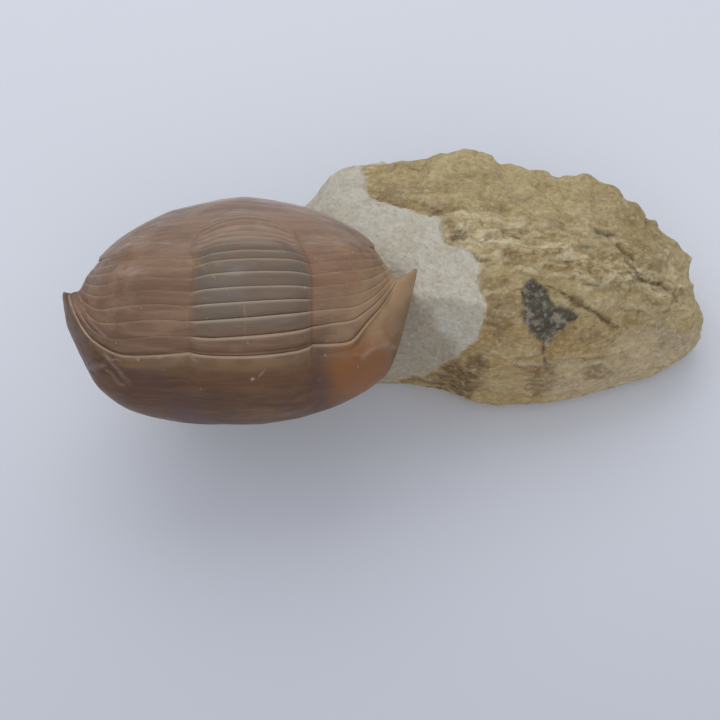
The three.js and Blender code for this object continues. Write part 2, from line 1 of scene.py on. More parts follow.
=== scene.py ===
# Looks of the trilobite fossil on its limestone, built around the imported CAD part.
# Everything below is modelled in millimetres and scaled to metres when the meshes are made.
import math
import bpy
import numpy as np
from mathutils import Matrix, Vector


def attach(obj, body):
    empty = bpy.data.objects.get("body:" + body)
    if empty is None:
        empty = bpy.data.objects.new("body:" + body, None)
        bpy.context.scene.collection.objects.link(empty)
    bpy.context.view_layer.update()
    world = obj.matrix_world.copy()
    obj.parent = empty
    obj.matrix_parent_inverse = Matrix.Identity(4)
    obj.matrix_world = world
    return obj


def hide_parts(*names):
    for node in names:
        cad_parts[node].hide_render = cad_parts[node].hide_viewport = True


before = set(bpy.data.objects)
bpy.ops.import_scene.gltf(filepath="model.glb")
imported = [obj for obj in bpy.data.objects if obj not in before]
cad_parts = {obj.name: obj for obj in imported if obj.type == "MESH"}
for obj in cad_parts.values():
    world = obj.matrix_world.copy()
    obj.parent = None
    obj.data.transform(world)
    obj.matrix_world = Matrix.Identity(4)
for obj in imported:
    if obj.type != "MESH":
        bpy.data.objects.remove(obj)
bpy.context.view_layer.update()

MM = 0.001

# ------------------------------------------------------------------ noise
def _hash(ix, iy, iz, seed):
    h = (ix * 374761393 + iy * 668265263 + iz * 2147483647 + seed * 1274126177) & 0xFFFFFFFF
    h = ((h ^ (h >> 13)) * 1274126177) & 0xFFFFFFFF
    h = ((h ^ (h >> 16)) * 2246822519) & 0xFFFFFFFF
    return (h ^ (h >> 15)) & 0xFFFFFFFF


def noise(P, seed=0):
    """gradient noise at points P (n,3), about -1..1"""
    P = np.asarray(P, float)
    i = np.floor(P).astype(np.int64)
    f = P - i
    s = f * f * f * (f * (f * 6 - 15) + 10)
    out = np.zeros(len(P))
    for dx in (0, 1):
        wx = s[:, 0] if dx else 1 - s[:, 0]
        for dy in (0, 1):
            wy = s[:, 1] if dy else 1 - s[:, 1]
            for dz in (0, 1):
                wz = s[:, 2] if dz else 1 - s[:, 2]
                h = _hash(i[:, 0] + dx, i[:, 1] + dy, i[:, 2] + dz, seed)
                gx = (h & 1023) / 511.5 - 1
                gy = ((h >> 10) & 1023) / 511.5 - 1
                gz = ((h >> 20) & 1023) / 511.5 - 1
                out += wx * wy * wz * (gx * (f[:, 0] - dx) + gy * (f[:, 1] - dy) + gz * (f[:, 2] - dz))
    return out * 1.25


def fbm(P, octaves=4, seed=0, gain=0.5):
    P = np.asarray(P, float)
    out, amp, tot = np.zeros(len(P)), 1.0, 0.0
    for o in range(octaves):
        out += amp * noise(P * 2.03 ** o + 17.3 * o, seed + o)
        tot += amp
        amp *= gain
    return out / tot * 1.5


def facets(P, seed):
    """tilted flat cells: a broken surface of small planes, about -0.5..0.5"""
    P = np.asarray(P, float)
    i = np.floor(P).astype(np.int64)
    best = np.full(len(P), 1e9)
    out = np.zeros(len(P))
    for dx in (-1, 0, 1):
        for dy in (-1, 0, 1):
            for dz in (-1, 0, 1):
                cx, cy, cz = i[:, 0] + dx, i[:, 1] + dy, i[:, 2] + dz
                h = _hash(cx, cy, cz, seed)
                D = P - np.stack([cx + (h & 1023) / 1023.0, cy + ((h >> 10) & 1023) / 1023.0, cz + ((h >> 20) & 1023) / 1023.0], -1)
                d = (D * D).sum(1)
                g = _hash(cx, cy, cz, seed + 77)
                v = (D[:, 0] * ((g & 255) / 127.5 - 1) + D[:, 1] * (((g >> 8) & 255) / 127.5 - 1)
                     + D[:, 2] * (((g >> 16) & 255) / 127.5 - 1) + (((g >> 24) & 127) / 63.5 - 1) * 0.25)
                near = d < best
                out = np.where(near, v, out)
                best = np.minimum(best, d)
    return out


def smooth(x):
    t = np.clip(x, 0, 1)
    return t * t * (3 - 2 * t)


def gauss(x):
    return np.exp(-x * x)


# ------------------------------------------------------------------ the shell surface
# sections of the back, left tip to right tip: rows 0..6 head shield, 6..14 thoracic joints, 14..19 tail shield
NET = np.array([
    [[-52.38, -6.57, 31.96], [-52.07, -9.46, 28.21], [-50.4, -12.25, 23.37], [-46.28, -15.08, 17.35], [-41.89, -15.74, 13.51], [-35.96, -15.97, 10.83], [-30.77, -16.02, 9.88], [-25.01, -15.93, 9.7], [-19.22, -15.59, 10.13], [-14.25, -15.02, 11.15], [-7.32, -14.04, 14.48], [-1.84, -12.9, 19.07], [0.63, -10.13, 25.06], [1.96, -6.91, 30.03], [3.07, -3.4, 33.79]],
    [[-52.2, -6.82, 32.29], [-51.92, -9.93, 29.38], [-50.32, -13.21, 25.3], [-46.74, -17.21, 20.22], [-42.02, -19.03, 16.72], [-35.71, -19.52, 14.27], [-30.51, -19.63, 13.42], [-24.6, -19.55, 13.28], [-18.61, -19.14, 13.68], [-13.62, -18.42, 14.64], [-6.88, -17.08, 17.69], [-1.59, -15.05, 21.82], [0.57, -11.29, 27.11], [1.72, -7.68, 31.19], [2.66, -3.86, 34.02]],
    [[-51.99, -7.05, 32.58], [-51.66, -10.35, 30.46], [-50.04, -14.02, 27.13], [-46.73, -18.76, 22.99], [-41.76, -21.28, 19.99], [-35.27, -21.91, 17.87], [-30.19, -22.03, 17.17], [-24.18, -21.97, 17.07], [-18.06, -21.51, 17.44], [-13.16, -20.72, 18.3], [-6.78, -19.19, 20.94], [-1.79, -16.63, 24.48], [0.21, -12.23, 28.98], [1.31, -8.36, 32.19], [2.2, -4.29, 34.22]],
    [[-51.75, -7.25, 32.84], [-51.31, -10.72, 31.45], [-49.56, -14.69, 28.84], [-46.25, -19.73, 25.66], [-41.09, -22.48, 23.31], [-34.66, -23.12, 21.65], [-29.8, -23.24, 21.13], [-23.76, -23.18, 21.07], [-17.57, -22.7, 21.4], [-12.88, -21.9, 22.11], [-7.04, -20.36, 24.24], [-2.45, -17.65, 27.04], [-0.48, -12.94, 30.67], [0.73, -8.96, 33.05], [1.71, -4.69, 34.36]],
    [[-51.48, -7.44, 33.05], [-50.84, -11.03, 32.35], [-48.87, -15.2, 30.43], [-45.24, -20.04, 28.22], [-39.98, -22.51, 26.69], [-33.83, -23, 25.62], [-29.34, -23.09, 25.33], [-23.35, -23.04, 25.32], [-17.15, -22.55, 25.6], [-12.8, -21.81, 26.11], [-7.7, -20.48, 27.6], [-3.62, -18.03, 29.48], [-1.51, -13.39, 32.15], [-0.05, -9.46, 33.74], [1.18, -5.07, 34.47]],
    [[-51.17, -7.6, 33.23], [-50.26, -11.28, 33.14], [-47.96, -15.56, 31.89], [-43.71, -19.71, 30.66], [-38.43, -21.37, 30.13], [-32.8, -21.58, 29.77], [-28.82, -21.6, 29.76], [-22.93, -21.56, 29.8], [-16.8, -21.09, 30.03], [-12.91, -20.49, 30.29], [-8.75, -19.57, 31], [-5.3, -17.78, 31.82], [-2.89, -13.59, 33.44], [-1.02, -9.86, 34.26], [0.61, -5.42, 34.52]],
    [[-50.83, -7.74, 33.37], [-49.55, -11.48, 33.83], [-46.82, -15.74, 33.23], [-41.62, -18.67, 32.99], [-36.39, -18.96, 33.63], [-31.55, -18.73, 34.13], [-28.22, -18.65, 34.45], [-22.51, -18.63, 34.55], [-16.52, -18.2, 34.71], [-13.23, -17.82, 34.66], [-10.23, -17.53, 34.46], [-7.53, -16.84, 34.04], [-4.65, -13.51, 34.51], [-2.2, -10.15, 34.6], [-0, -5.74, 34.52]],
    [[-50.6, -7.39, 33.11], [-48.79, -11.48, 33.84], [-45.78, -15.47, 34.24], [-41.38, -17.29, 35.52], [-36.32, -17.33, 36.46], [-31.36, -17.58, 36.75], [-28.05, -17.47, 37.13], [-22.39, -17.19, 37.4], [-16.44, -16.69, 37.58], [-13.17, -16.35, 37.45], [-10.2, -15.71, 37.4], [-7.22, -14.89, 36.91], [-4.36, -12.19, 36.13], [-2.2, -9.1, 35.21], [-0.38, -5.38, 34.26]],
    [[-50.31, -7.05, 32.72], [-48.21, -10.98, 33.89], [-45.44, -14.15, 35.27], [-41.28, -15.41, 37.33], [-36.23, -15.55, 38.28], [-31.28, -15.95, 38.5], [-27.98, -15.85, 38.91], [-22.33, -15.51, 39.21], [-16.41, -15.01, 39.39], [-13.15, -14.66, 39.25], [-10.19, -14.2, 39.06], [-7.07, -13.47, 38.46], [-4.21, -11.01, 37.08], [-2.35, -8.06, 35.57], [-0.68, -4.84, 34]],
    [[-49.94, -6.65, 32.38], [-47.96, -10.03, 34.11], [-45.15, -12.42, 36.2], [-41.26, -13.4, 38.63], [-36.21, -13.62, 39.54], [-31.26, -14.03, 39.77], [-27.96, -14, 40.14], [-22.32, -13.73, 40.41], [-16.4, -13.42, 40.47], [-13.15, -13.19, 40.25], [-10.18, -12.72, 40.07], [-6.92, -11.92, 39.49], [-4.21, -9.67, 37.79], [-2.35, -6.98, 35.87], [-1.05, -4.16, 33.81]],
    [[-49.57, -5.91, 32.23], [-47.72, -8.65, 34.51], [-44.88, -10.59, 36.99], [-41.14, -11.43, 39.56], [-36.24, -11.71, 40.42], [-31.14, -12.12, 40.64], [-27.84, -12.08, 41], [-22.34, -11.88, 41.23], [-16.41, -11.7, 41.22], [-13.15, -11.54, 40.97], [-10.19, -11.07, 40.79], [-6.92, -10.2, 40.27], [-4.36, -8.24, 38.35], [-2.65, -5.86, 36.12], [-1.51, -3.35, 33.71]],
    [[-49.19, -4.83, 32.28], [-47.33, -7.24, 34.87], [-44.65, -8.88, 37.54], [-41.07, -9.55, 40.1], [-36.16, -9.76, 40.96], [-30.9, -10.09, 41.2], [-27.59, -10.05, 41.55], [-22.38, -9.85, 41.77], [-16.58, -9.73, 41.73], [-13.32, -9.64, 41.46], [-10.2, -9.11, 41.33], [-6.92, -8.39, 40.78], [-4.51, -6.71, 38.79], [-3.1, -4.72, 36.33], [-1.97, -2.47, 33.64]],
    [[-48.68, -3.62, 32.28], [-46.8, -5.65, 35.23], [-44.28, -7.07, 37.96], [-40.87, -7.75, 40.35], [-35.96, -7.92, 41.15], [-30.53, -8.18, 41.41], [-27.37, -8.06, 41.77], [-22.44, -7.85, 42], [-17.22, -7.81, 41.92], [-13.94, -7.79, 41.63], [-10.51, -7.27, 41.53], [-7.22, -6.64, 40.99], [-4.81, -5.23, 39.02], [-3.4, -3.51, 36.46], [-2.58, -1.39, 33.57]],
    [[-48, -2.48, 32.25], [-46.11, -4.39, 35.42], [-43.9, -5.7, 38.23], [-40.65, -6.41, 40.51], [-35.74, -6.56, 41.27], [-30, -6.81, 41.51], [-27.13, -6.69, 41.86], [-22.63, -6.47, 42.08], [-18, -6.49, 41.97], [-14.86, -6.55, 41.66], [-11.12, -5.97, 41.61], [-7.53, -5.37, 41.11], [-5.11, -4.12, 39.14], [-3.86, -2.52, 36.5], [-3.12, -0.44, 33.42]],
    [[-47.17, -1.19, 32.3], [-45.57, -3.13, 35.6], [-43.53, -4.44, 38.39], [-40.45, -5.09, 40.56], [-35.68, -5.21, 41.28], [-29.62, -5.45, 41.5], [-26.9, -5.32, 41.84], [-22.83, -5.1, 42.05], [-18.79, -5.19, 41.91], [-16.09, -5.25, 41.61], [-11.74, -4.69, 41.58], [-8.13, -4.11, 41.13], [-5.72, -2.99, 39.23], [-4.47, -1.59, 36.49], [-3.66, 0.51, 33.28]],
    [[-47.16, -1.1, 32.35], [-45.69, -2.36, 35.15], [-43.66, -2.92, 37.58], [-40.62, -2.91, 39.68], [-35.9, -2.37, 40.71], [-29.94, -2.16, 41.11], [-27.08, -1.89, 41.46], [-23.21, -1.67, 41.64], [-19.32, -1.79, 41.52], [-16.38, -2, 41.2], [-11.92, -1.91, 40.97], [-8.16, -2.04, 40.18], [-5.72, -1.59, 38.35], [-4.44, -0.84, 36.03], [-3.66, 0.59, 33.33]],
    [[-47.15, -1.02, 32.39], [-45.78, -1.61, 34.63], [-43.77, -1.44, 36.63], [-40.75, -0.84, 38.48], [-36.07, 0.3, 39.61], [-30.21, 0.93, 40.1], [-27.24, 1.34, 40.43], [-23.59, 1.56, 40.56], [-19.88, 1.39, 40.46], [-16.72, 1.04, 40.16], [-12.16, 0.7, 39.84], [-8.24, -0.06, 38.93], [-5.76, -0.25, 37.32], [-4.42, -0.12, 35.49], [-3.66, 0.66, 33.36]],
    [[-47.14, -0.94, 32.41], [-45.87, -0.89, 34.04], [-43.85, -0.01, 35.51], [-40.83, 1.14, 36.97], [-36.18, 2.81, 37.99], [-30.43, 3.83, 38.45], [-27.38, 4.35, 38.73], [-23.97, 4.57, 38.82], [-20.46, 4.37, 38.74], [-17.11, 3.9, 38.49], [-12.45, 3.15, 38.19], [-8.36, 1.81, 37.36], [-5.82, 1.05, 36.13], [-4.42, 0.59, 34.89], [-3.67, 0.73, 33.37]],
    [[-47.12, -0.87, 32.41], [-45.93, -0.18, 33.39], [-43.9, 1.37, 34.27], [-40.88, 3.04, 35.2], [-36.24, 5.18, 35.94], [-30.61, 6.56, 36.29], [-27.5, 7.18, 36.47], [-24.35, 7.41, 36.53], [-21.07, 7.17, 36.46], [-17.54, 6.58, 36.3], [-12.8, 5.46, 36.1], [-8.53, 3.6, 35.53], [-5.91, 2.31, 34.81], [-4.43, 1.27, 34.23], [-3.68, 0.8, 33.37]],
    [[-47.11, -0.8, 32.41], [-45.99, 0.52, 32.7], [-43.93, 2.73, 32.95], [-40.89, 4.88, 33.26], [-36.26, 7.47, 33.6], [-30.76, 9.18, 33.78], [-27.6, 9.91, 33.85], [-24.73, 10.13, 33.87], [-21.68, 9.85, 33.82], [-17.99, 9.16, 33.77], [-13.18, 7.69, 33.73], [-8.71, 5.34, 33.53], [-6.02, 3.54, 33.41], [-4.45, 1.95, 33.53], [-3.69, 0.86, 33.37]],
])
HEAD_REAR, TAIL_FRONT = 6, 14
STEP = np.linalg.norm(np.diff(NET[:, 5:10], axis=0), axis=2).mean(1)
U = np.concatenate([[0.0], np.cumsum(STEP)])
UH, UT, UEND = U[HEAD_REAR], U[TAIL_FRONT], U[-1]


def _slopes(y):
    d = np.diff(y, axis=1)
    m = np.zeros_like(y)
    a, b = d[:, :-1], d[:, 1:]
    ok = a * b > 0
    m[:, 1:-1] = np.where(ok, 2 * a * b / np.where(ok, a + b, 1.0), 0.0)

    def end(p, q):
        s = (3 * p - q) / 2
        s = np.where(s * p <= 0, 0.0, s)
        return np.where((p * q <= 0) & (np.abs(s) > 3 * np.abs(p)), 3 * p, s)
    m[:, 0] = end(d[:, 0], d[:, 1])
    m[:, -1] = end(d[:, -1], d[:, -2])
    return m


SLOPES = _slopes(NET)


def columns(v):
    t = np.asarray(v, float) + 7
    i = np.clip(np.floor(t).astype(int), 0, 13)
    t = (t - i)[None, :, None]
    t2, t3 = t * t, t * t * t
    return ((2 * t3 - 3 * t2 + 1) * NET[:, i] + (t3 - 2 * t2 + t) * SLOPES[:, i]
            + (-2 * t3 + 3 * t2) * NET[:, i + 1] + (t3 - t2) * SLOPES[:, i + 1])


_n = len(U)
_H = np.diff(U)
_A = np.zeros((_n, _n))
_B = np.zeros((_n, _n))
_A[0, 0] = _A[-1, -1] = 1
for _k in range(1, _n - 1):
    _A[_k, _k - 1], _A[_k, _k], _A[_k, _k + 1] = _H[_k - 1], 2 * (_H[_k - 1] + _H[_k]), _H[_k]
    _B[_k, _k - 1] = 6 / _H[_k - 1]
    _B[_k, _k] = -6 / _H[_k - 1] - 6 / _H[_k]
    _B[_k, _k + 1] = 6 / _H[_k]
SECOND = np.linalg.solve(_A, _B)


def base(u, v):
    """points of the smooth back: u (m,), v (n,) -> (m, n, 3)"""
    Y = columns(v)
    M = np.einsum("ij,jnk->ink", SECOND, Y)
    u = np.asarray(u, float)
    i = np.clip(np.searchsorted(U, u) - 1, 0, _n - 2)
    h = _H[i]
    a = ((U[i + 1] - u) / h)[:, None, None]
    b = ((u - U[i]) / h)[:, None, None]
    h = h[:, None, None]
    return a * Y[i] + b * Y[i + 1] + ((a ** 3 - a) * M[i] + (b ** 3 - b) * M[i + 1]) * h * h / 6


def normals(u, v):
    uu, vv, e = np.clip(u, 0.4, UEND - 0.4), np.clip(v, -6.6, 6.6), 0.04
    du = base(uu + e, vv) - base(uu - e, vv)
    dv = base(uu, vv + e) - base(uu, vv - e)
    n = np.cross(dv, du)
    n /= np.linalg.norm(n, axis=2, keepdims=True)
    b = smooth((np.abs(v) - 4.9) / 1.6)[None, :, None]
    fan = np.stack([np.sign(v) * 0.72, np.full_like(v, -0.236), np.full_like(v, 0.649)], -1)[None]
    n = n * (1 - b) + fan * b
    return n / np.linalg.norm(n, axis=2, keepdims=True)


def table(rows, x):
    x = np.asarray(x, float)
    xs = np.array([r[0] for r in rows])
    ys = np.array([r[1] for r in rows])
    i = np.clip(np.searchsorted(xs, x) - 1, 0, len(xs) - 2)
    f = smooth((x - xs[i]) / (xs[i + 1] - xs[i]))
    return ys[i] * (1 - f) + ys[i + 1] * f


AXIS_WIDTH = [[0, 2.3], [5, 2.35], [9, 2.3], [15, 2.05], [21, 1.95], [27.7, 2.0], [38.0, 2.02], [40.5, 2.08], [42.5, 2.22], [44.4, 2.40]]
AXIS_RISE = [[0, 0], [6, 0], [12, .14], [18, .5], [24, .88], [27.7, 1], [44.4, 1]]
AXIS_HEIGHT = 1.5
TAIL_AXIS = 9.0


def axis_t(u, v):
    """distance from the mid line as a share of the axial lobe's half width, and the lobe's height share"""
    w, h = table(AXIS_WIDTH, u), table(AXIS_RISE, u)
    x = np.clip((u - UT) / TAIL_AXIS, 0, 1)
    w = w * ((1 - x ** 1.9) ** 0.62 + 1e-3)
    h = h * (1 - x * x) ** 1.2 * (1 - 0.40 * smooth(x / 0.35))
    return np.abs(v) / w, h


# steps between the plates, mm: over the axis, over the left pleurae, over the right pleurae
STEPS = [(.40, .30, .34), (.34, .06, .21), (.32, .10, .14), (.30, .10, .07), (.27, .05, .06), (.25, .05, .06),
         (.22, .04, .05), (.19, .04, .05), (.16, .05, .05)]
TAIL_RINGS = [(45.75, .09), (46.95, .09), (48.25, .08), (49.55, .07), (50.9, .05), (52.2, .03)]


def joint_step(k, v):
    a, pl, pr = STEPS[k]
    t = np.abs(v) / table(AXIS_WIDTH, U[HEAD_REAR + k])
    p = np.where(v < 0, pl, pr)
    s = p + (a - p) * smooth((1.08 - t) / 0.26)
    tip = smooth((np.abs(v) - 4.2) / 1.4)
    return s * (1 - tip) + np.maximum(0.15, p) * tip


def lobe(u, v, u0, v0, ru, rv, p=1.1):
    q = np.sqrt(((u - u0) / ru) ** 2 + ((v - v0) / rv) ** 2)
    return np.clip(1 - q * q, 0, 1) ** p


def eye(u, v, u0, v0, side):
    """palpebral lobe: a crescent with a steep outer wall and a furrow on its inner side"""
    x = (u - u0) / 7.9                       # along the eye
    y = side * (v - v0) / 0.5                # outwards positive
    y = y + 0.55 * x * x - 0.1               # bent round the cheek
    end = np.clip(1 - x * x, 0, 1)
    wall = np.where(y > 0, np.clip(1 - (y / 0.95) ** 2, 0, 1) ** 0.8, np.exp(-(y / 1.05) ** 2))
    furrow = gauss((y + 1.35) / 0.42) * end
    return 1.75 * end ** 0.75 * wall - 0.26 * furrow


def relief(u, v):
    """height of the finished surface over the smooth back; u and v broadcast"""
    u, v = np.broadcast_arrays(u, v)
    t, h = axis_t(u, v)
    d = np.where(t < 1, AXIS_HEIGHT * h * (1 - np.minimum(t, 1) ** 2.6), 0.0)
    thorax = smooth((u - 24.5) / 3) * (1 - smooth((u - UT - 3) / 6))
    d -= np.where(v > 0, 0.06, 0.01) * gauss((t - 1.0) / 0.035) * thorax            # axial furrows
    d -= 0.07 * gauss((t - 1.02) / 0.10) * smooth((u - 8) / 8) * (1 - smooth((u - 23) / 4))
    d += 0.55 * eye(u, v, 17.2, 4.40, 1) + 0.34 * eye(u, v, 19.0, -4.10, -1)
    # rear border of the head shield
    cheek = smooth((t - 1.04) / 0.15) * (1 - smooth((np.abs(v) - 5.2) / 0.8))
    d -= 0.16 * gauss((u - (UH - 1.9)) / 0.55) * cheek
    d += 0.13 * gauss((u - (UH - 0.6)) / 0.6) * (u < UH + 0.2) * (0.35 + 0.65 * cheek)
    d += 0.32 * gauss((u - UH) / 2.0) * (u < UH + 0.2) * smooth((1.03 - t) / 0.10)       # ring at the back of the head
    # side border of the cheeks
    d -= 0.14 * gauss((u - 2.1) / 0.75) * smooth((np.abs(v) - 2.6) / 1.2)
    # boss beside the left axial furrow, ridge of the left facial suture
    d += 0.55 * gauss(np.sqrt(((u - 26.2) / 1.25) ** 2 + ((v + 2.32) / 0.30) ** 2)) * (u < UH + 0.2)
    # rings of the tail axis, bent forwards at their ends, and faint ribs on its flanks
    tail = smooth((u - UT + 0.1) / 0.3)
    ring = u + np.minimum(t, 1.2) ** 2 * (0.35 + 0.36 * np.clip(u - 45.4, 0, 9))
    for u0, a in TAIL_RINGS:
        d -= a * gauss((ring - u0) / 0.17) * smooth((1.02 - t) / 0.22) * tail
        d += 0.35 * a * gauss((ring - u0 + 0.42) / 0.24) * smooth((1.02 - t) / 0.15) * tail
    rib = u + 0.20 * (np.abs(v) - 2.0)
    for u0, a in ((46.3, .06), (48.0, .055), (49.9, .045), (52.0, .03)):
        d -= a * gauss((rib - u0) / 0.22) * smooth((t - 1.1) / 0.25) * (1 - smooth((np.abs(v) - 4.6) / 0.9)) * tail
    d -= 0.13 * gauss((u - 58.9) / 1.0) * smooth((np.abs(v) - 0.6) / 1.2) * tail
    d += 0.10 * gauss((u - 60.7) / 0.8) * tail
    # worn places: a crack at the tail border, a chip and a scratch on the head
    s = np.clip((v + 3.72) / 0.45, 0, 1)
    d -= 0.22 * gauss((u - (52.95 - 0.3 * s)) / 0.16) * smooth((v + 3.78) / 0.08) * smooth((-3.22 - v) / 0.08)
    d -= 0.16 * gauss(np.sqrt(((u - 23.56) / 0.32) ** 2 + ((v - 0.1) / 0.07) ** 2))
    s = np.clip((u - 23.5) / 1.8, 0, 1)
    d -= 0.05 * gauss((v - (0.1 + 0.4 * s)) / 0.035) * smooth((u - 23.5) / 0.2) * smooth((25.4 - u) / 0.3)
    return d


# fine ridges and scratches of the shell: polyline in the slanting plane (x, 0.866 y + 0.5 z), half width, height,
# paleness, lowest and highest u; the paleness is a painted highlight along the raised ridges and pale wear along the
# scratches
STROKES = [
    ([(-6.22, -0.34), (-5.64, 0.38), (-4.13, 1.77), (-2.23, 2.29), (-1.03, 1.88), (-0.15, 1.24)], 0.50, 0.30, 0.13, 0, 27.5),
    ([(-6.9, 0.2), (-4.8, 2.6), (-2.2, 3.3), (-0.4, 2.5)], 0.45, -0.20, 0.0, 0, 27.5),
    ([(-5.3, -0.9), (-3.6, 0.5), (-2.0, 0.9)], 0.55, -0.10, 0.0, 0, 27.5),
    ([(-45.21, 0.93), (-44.05, 0.0), (-42.77, -1.48), (-41.7, -3.03), (-40.64, -4.17)], 0.26, 0.20, 0.16, 0, 27.5),
    ([(-44.63, -1.44), (-43.58, -2.1), (-42.63, -3.73), (-41.64, -4.37)], 0.24, 0.14, 0.15, 0, 27.5),
    ([(-44.2, 0.7), (-42.9, -0.7), (-41.9, -2.3)], 0.22, -0.12, 0.0, 0, 27.5),
    ([(-43.7, -0.4), (-42.9, -0.2), (-41.9, -0.6)], 0.15, 0.06, 0.22, 0, 27.5),
    ([(-47.52, -1.82), (-46.54, -1.45), (-45.47, -1.15), (-44.13, -0.98)], 0.35, 0.26, 0.14, 0, 27.5),
    ([(-47.8, -0.95), (-46.6, -0.70), (-45.4, -0.40), (-44.3, -0.25)], 0.35, -0.24, 0.0, 0, 27.5),
    ([(-36.72, -0.36), (-35.77, 0.38), (-34.55, 0.84), (-32.69, 1.1), (-31.53, 0.4), (-30.13, -0.39)], 0.35, 0.14, 0.16, 0, 27.7),
    ([(-42.91, 17.14), (-40.22, 17.33), (-37.1, 17.37), (-33.89, 17.23)], 0.16, 0.05, 0.20, 44.4, 70),
    ([(-44.59, 18.25), (-41.47, 18.44), (-38.03, 18.49)], 0.16, 0.05, 0.16, 44.4, 70),
    ([(-15.07, 18.56), (-12.82, 18.37), (-10.56, 17.99), (-8.29, 17.43)], 0.16, 0.05, 0.18, 44.4, 70),
    ([(-14.69, 17.36), (-12.09, 17.17), (-9.37, 16.61)], 0.16, 0.04, 0.14, 44.4, 70),
    ([(-51.19, 10.04), (-50.25, 8.06), (-49.08, 5.7), (-47.41, 3.49), (-45.44, 1.58)], 0.20, 0.06, 0.26, 0, 70),
    ([(-49.58, 10.1), (-48.59, 8.1), (-47.06, 5.74), (-45.23, 3.79), (-43.68, 2.68)], 0.18, 0.05, 0.20, 0, 70),
    ([(-50.5, 10.1), (-49.5, 8.1), (-48.1, 5.7), (-46.5, 3.7)], 0.14, 0.04, 0.16, 0, 70),
    ([(-23.06, 8.14), (-22.92, 5.95), (-23.14, 3.34)], 0.12, -0.02, 0.16, 27.8, 44),
    ([(-24.2, 24.9), (-20.0, 24.4), (-16.6, 23.4), (-12.6, 21.6)], 0.22, 0.03, 0.22, 55, 70),
    ([(-38.5, 21.2), (-34.0, 22.9), (-29.5, 24.0), (-25.5, 24.5)], 0.22, 0.03, 0.20, 55, 70),
]


def strokes(B, u):
    """relief and paleness of the strokes at base points B"""
    x, w = B[..., 0], 0.866 * B[..., 1] + 0.5 * B[..., 2]
    up, pale = np.zeros(x.shape), np.zeros(x.shape)
    for pts, wd, h, a, u0, u1 in STROKES:
        on = (u >= u0) & (u <= u1)
        if not on.any():
            continue
        best, run = np.full(x.shape, 1e9), np.zeros(x.shape)
        total = len(pts) - 1
        for k, ((ax, aw), (bx, bw)) in enumerate(zip(pts[:-1], pts[1:])):
            ex, ew = bx - ax, bw - aw
            t = np.clip(((x - ax) * ex + (w - aw) * ew) / (ex * ex + ew * ew), 0, 1)
            d = np.hypot(x - ax - t * ex, w - aw - t * ew)
            run = np.where(d < best, (k + t) / total, run)
            best = np.minimum(best, d)
        taper = smooth(run / 0.15) * smooth((1 - run) / 0.15)
        g = gauss(best / wd) * taper * on
        up += g * h
        pale = np.maximum(pale, gauss(best / (wd * 0.8)) * taper * on * a)
    return up, pale


def thin(v):
    return 1 - 0.55 * smooth((np.abs(v) - 4.4) / 2.4)


# ------------------------------------------------------------------ meshes
def make_mesh(name, co, quads, tris=()):
    me = bpy.data.meshes.new(name)
    co = np.asarray(co, np.float64)
    q = np.asarray(quads, np.int32).reshape(-1, 4)
    t = np.asarray(tris, np.int32).reshape(-1, 3)
    me.vertices.add(len(co))
    me.vertices.foreach_set("co", (co * MM).astype(np.float32).ravel())
    loops = np.concatenate([q.ravel(), t.ravel()])
    me.loops.add(len(loops))
    me.loops.foreach_set("vertex_index", loops)
    starts = np.concatenate([np.arange(len(q)) * 4, len(q) * 4 + np.arange(len(t)) * 3]).astype(np.int32)
    me.polygons.add(len(q) + len(t))
    me.polygons.foreach_set("loop_start", starts)
    me.update(calc_edges=True)
    me.validate()
    me.shade_smooth()
    ob = bpy.data.objects.new(name, me)
    bpy.context.scene.collection.objects.link(ob)
    return ob


def put(ob, name, values):
    a = ob.data.attributes.new(name, "FLOAT", "POINT")
    a.data.foreach_set("value", np.asarray(values, np.float32).ravel())


VN = 380
_s = np.linspace(-1, 1, VN)
V = 7 * (0.93 * _s + 0.07 * np.sin(_s * np.pi / 2) ** 3 + 0.0)
V = 7 * V / V.max()


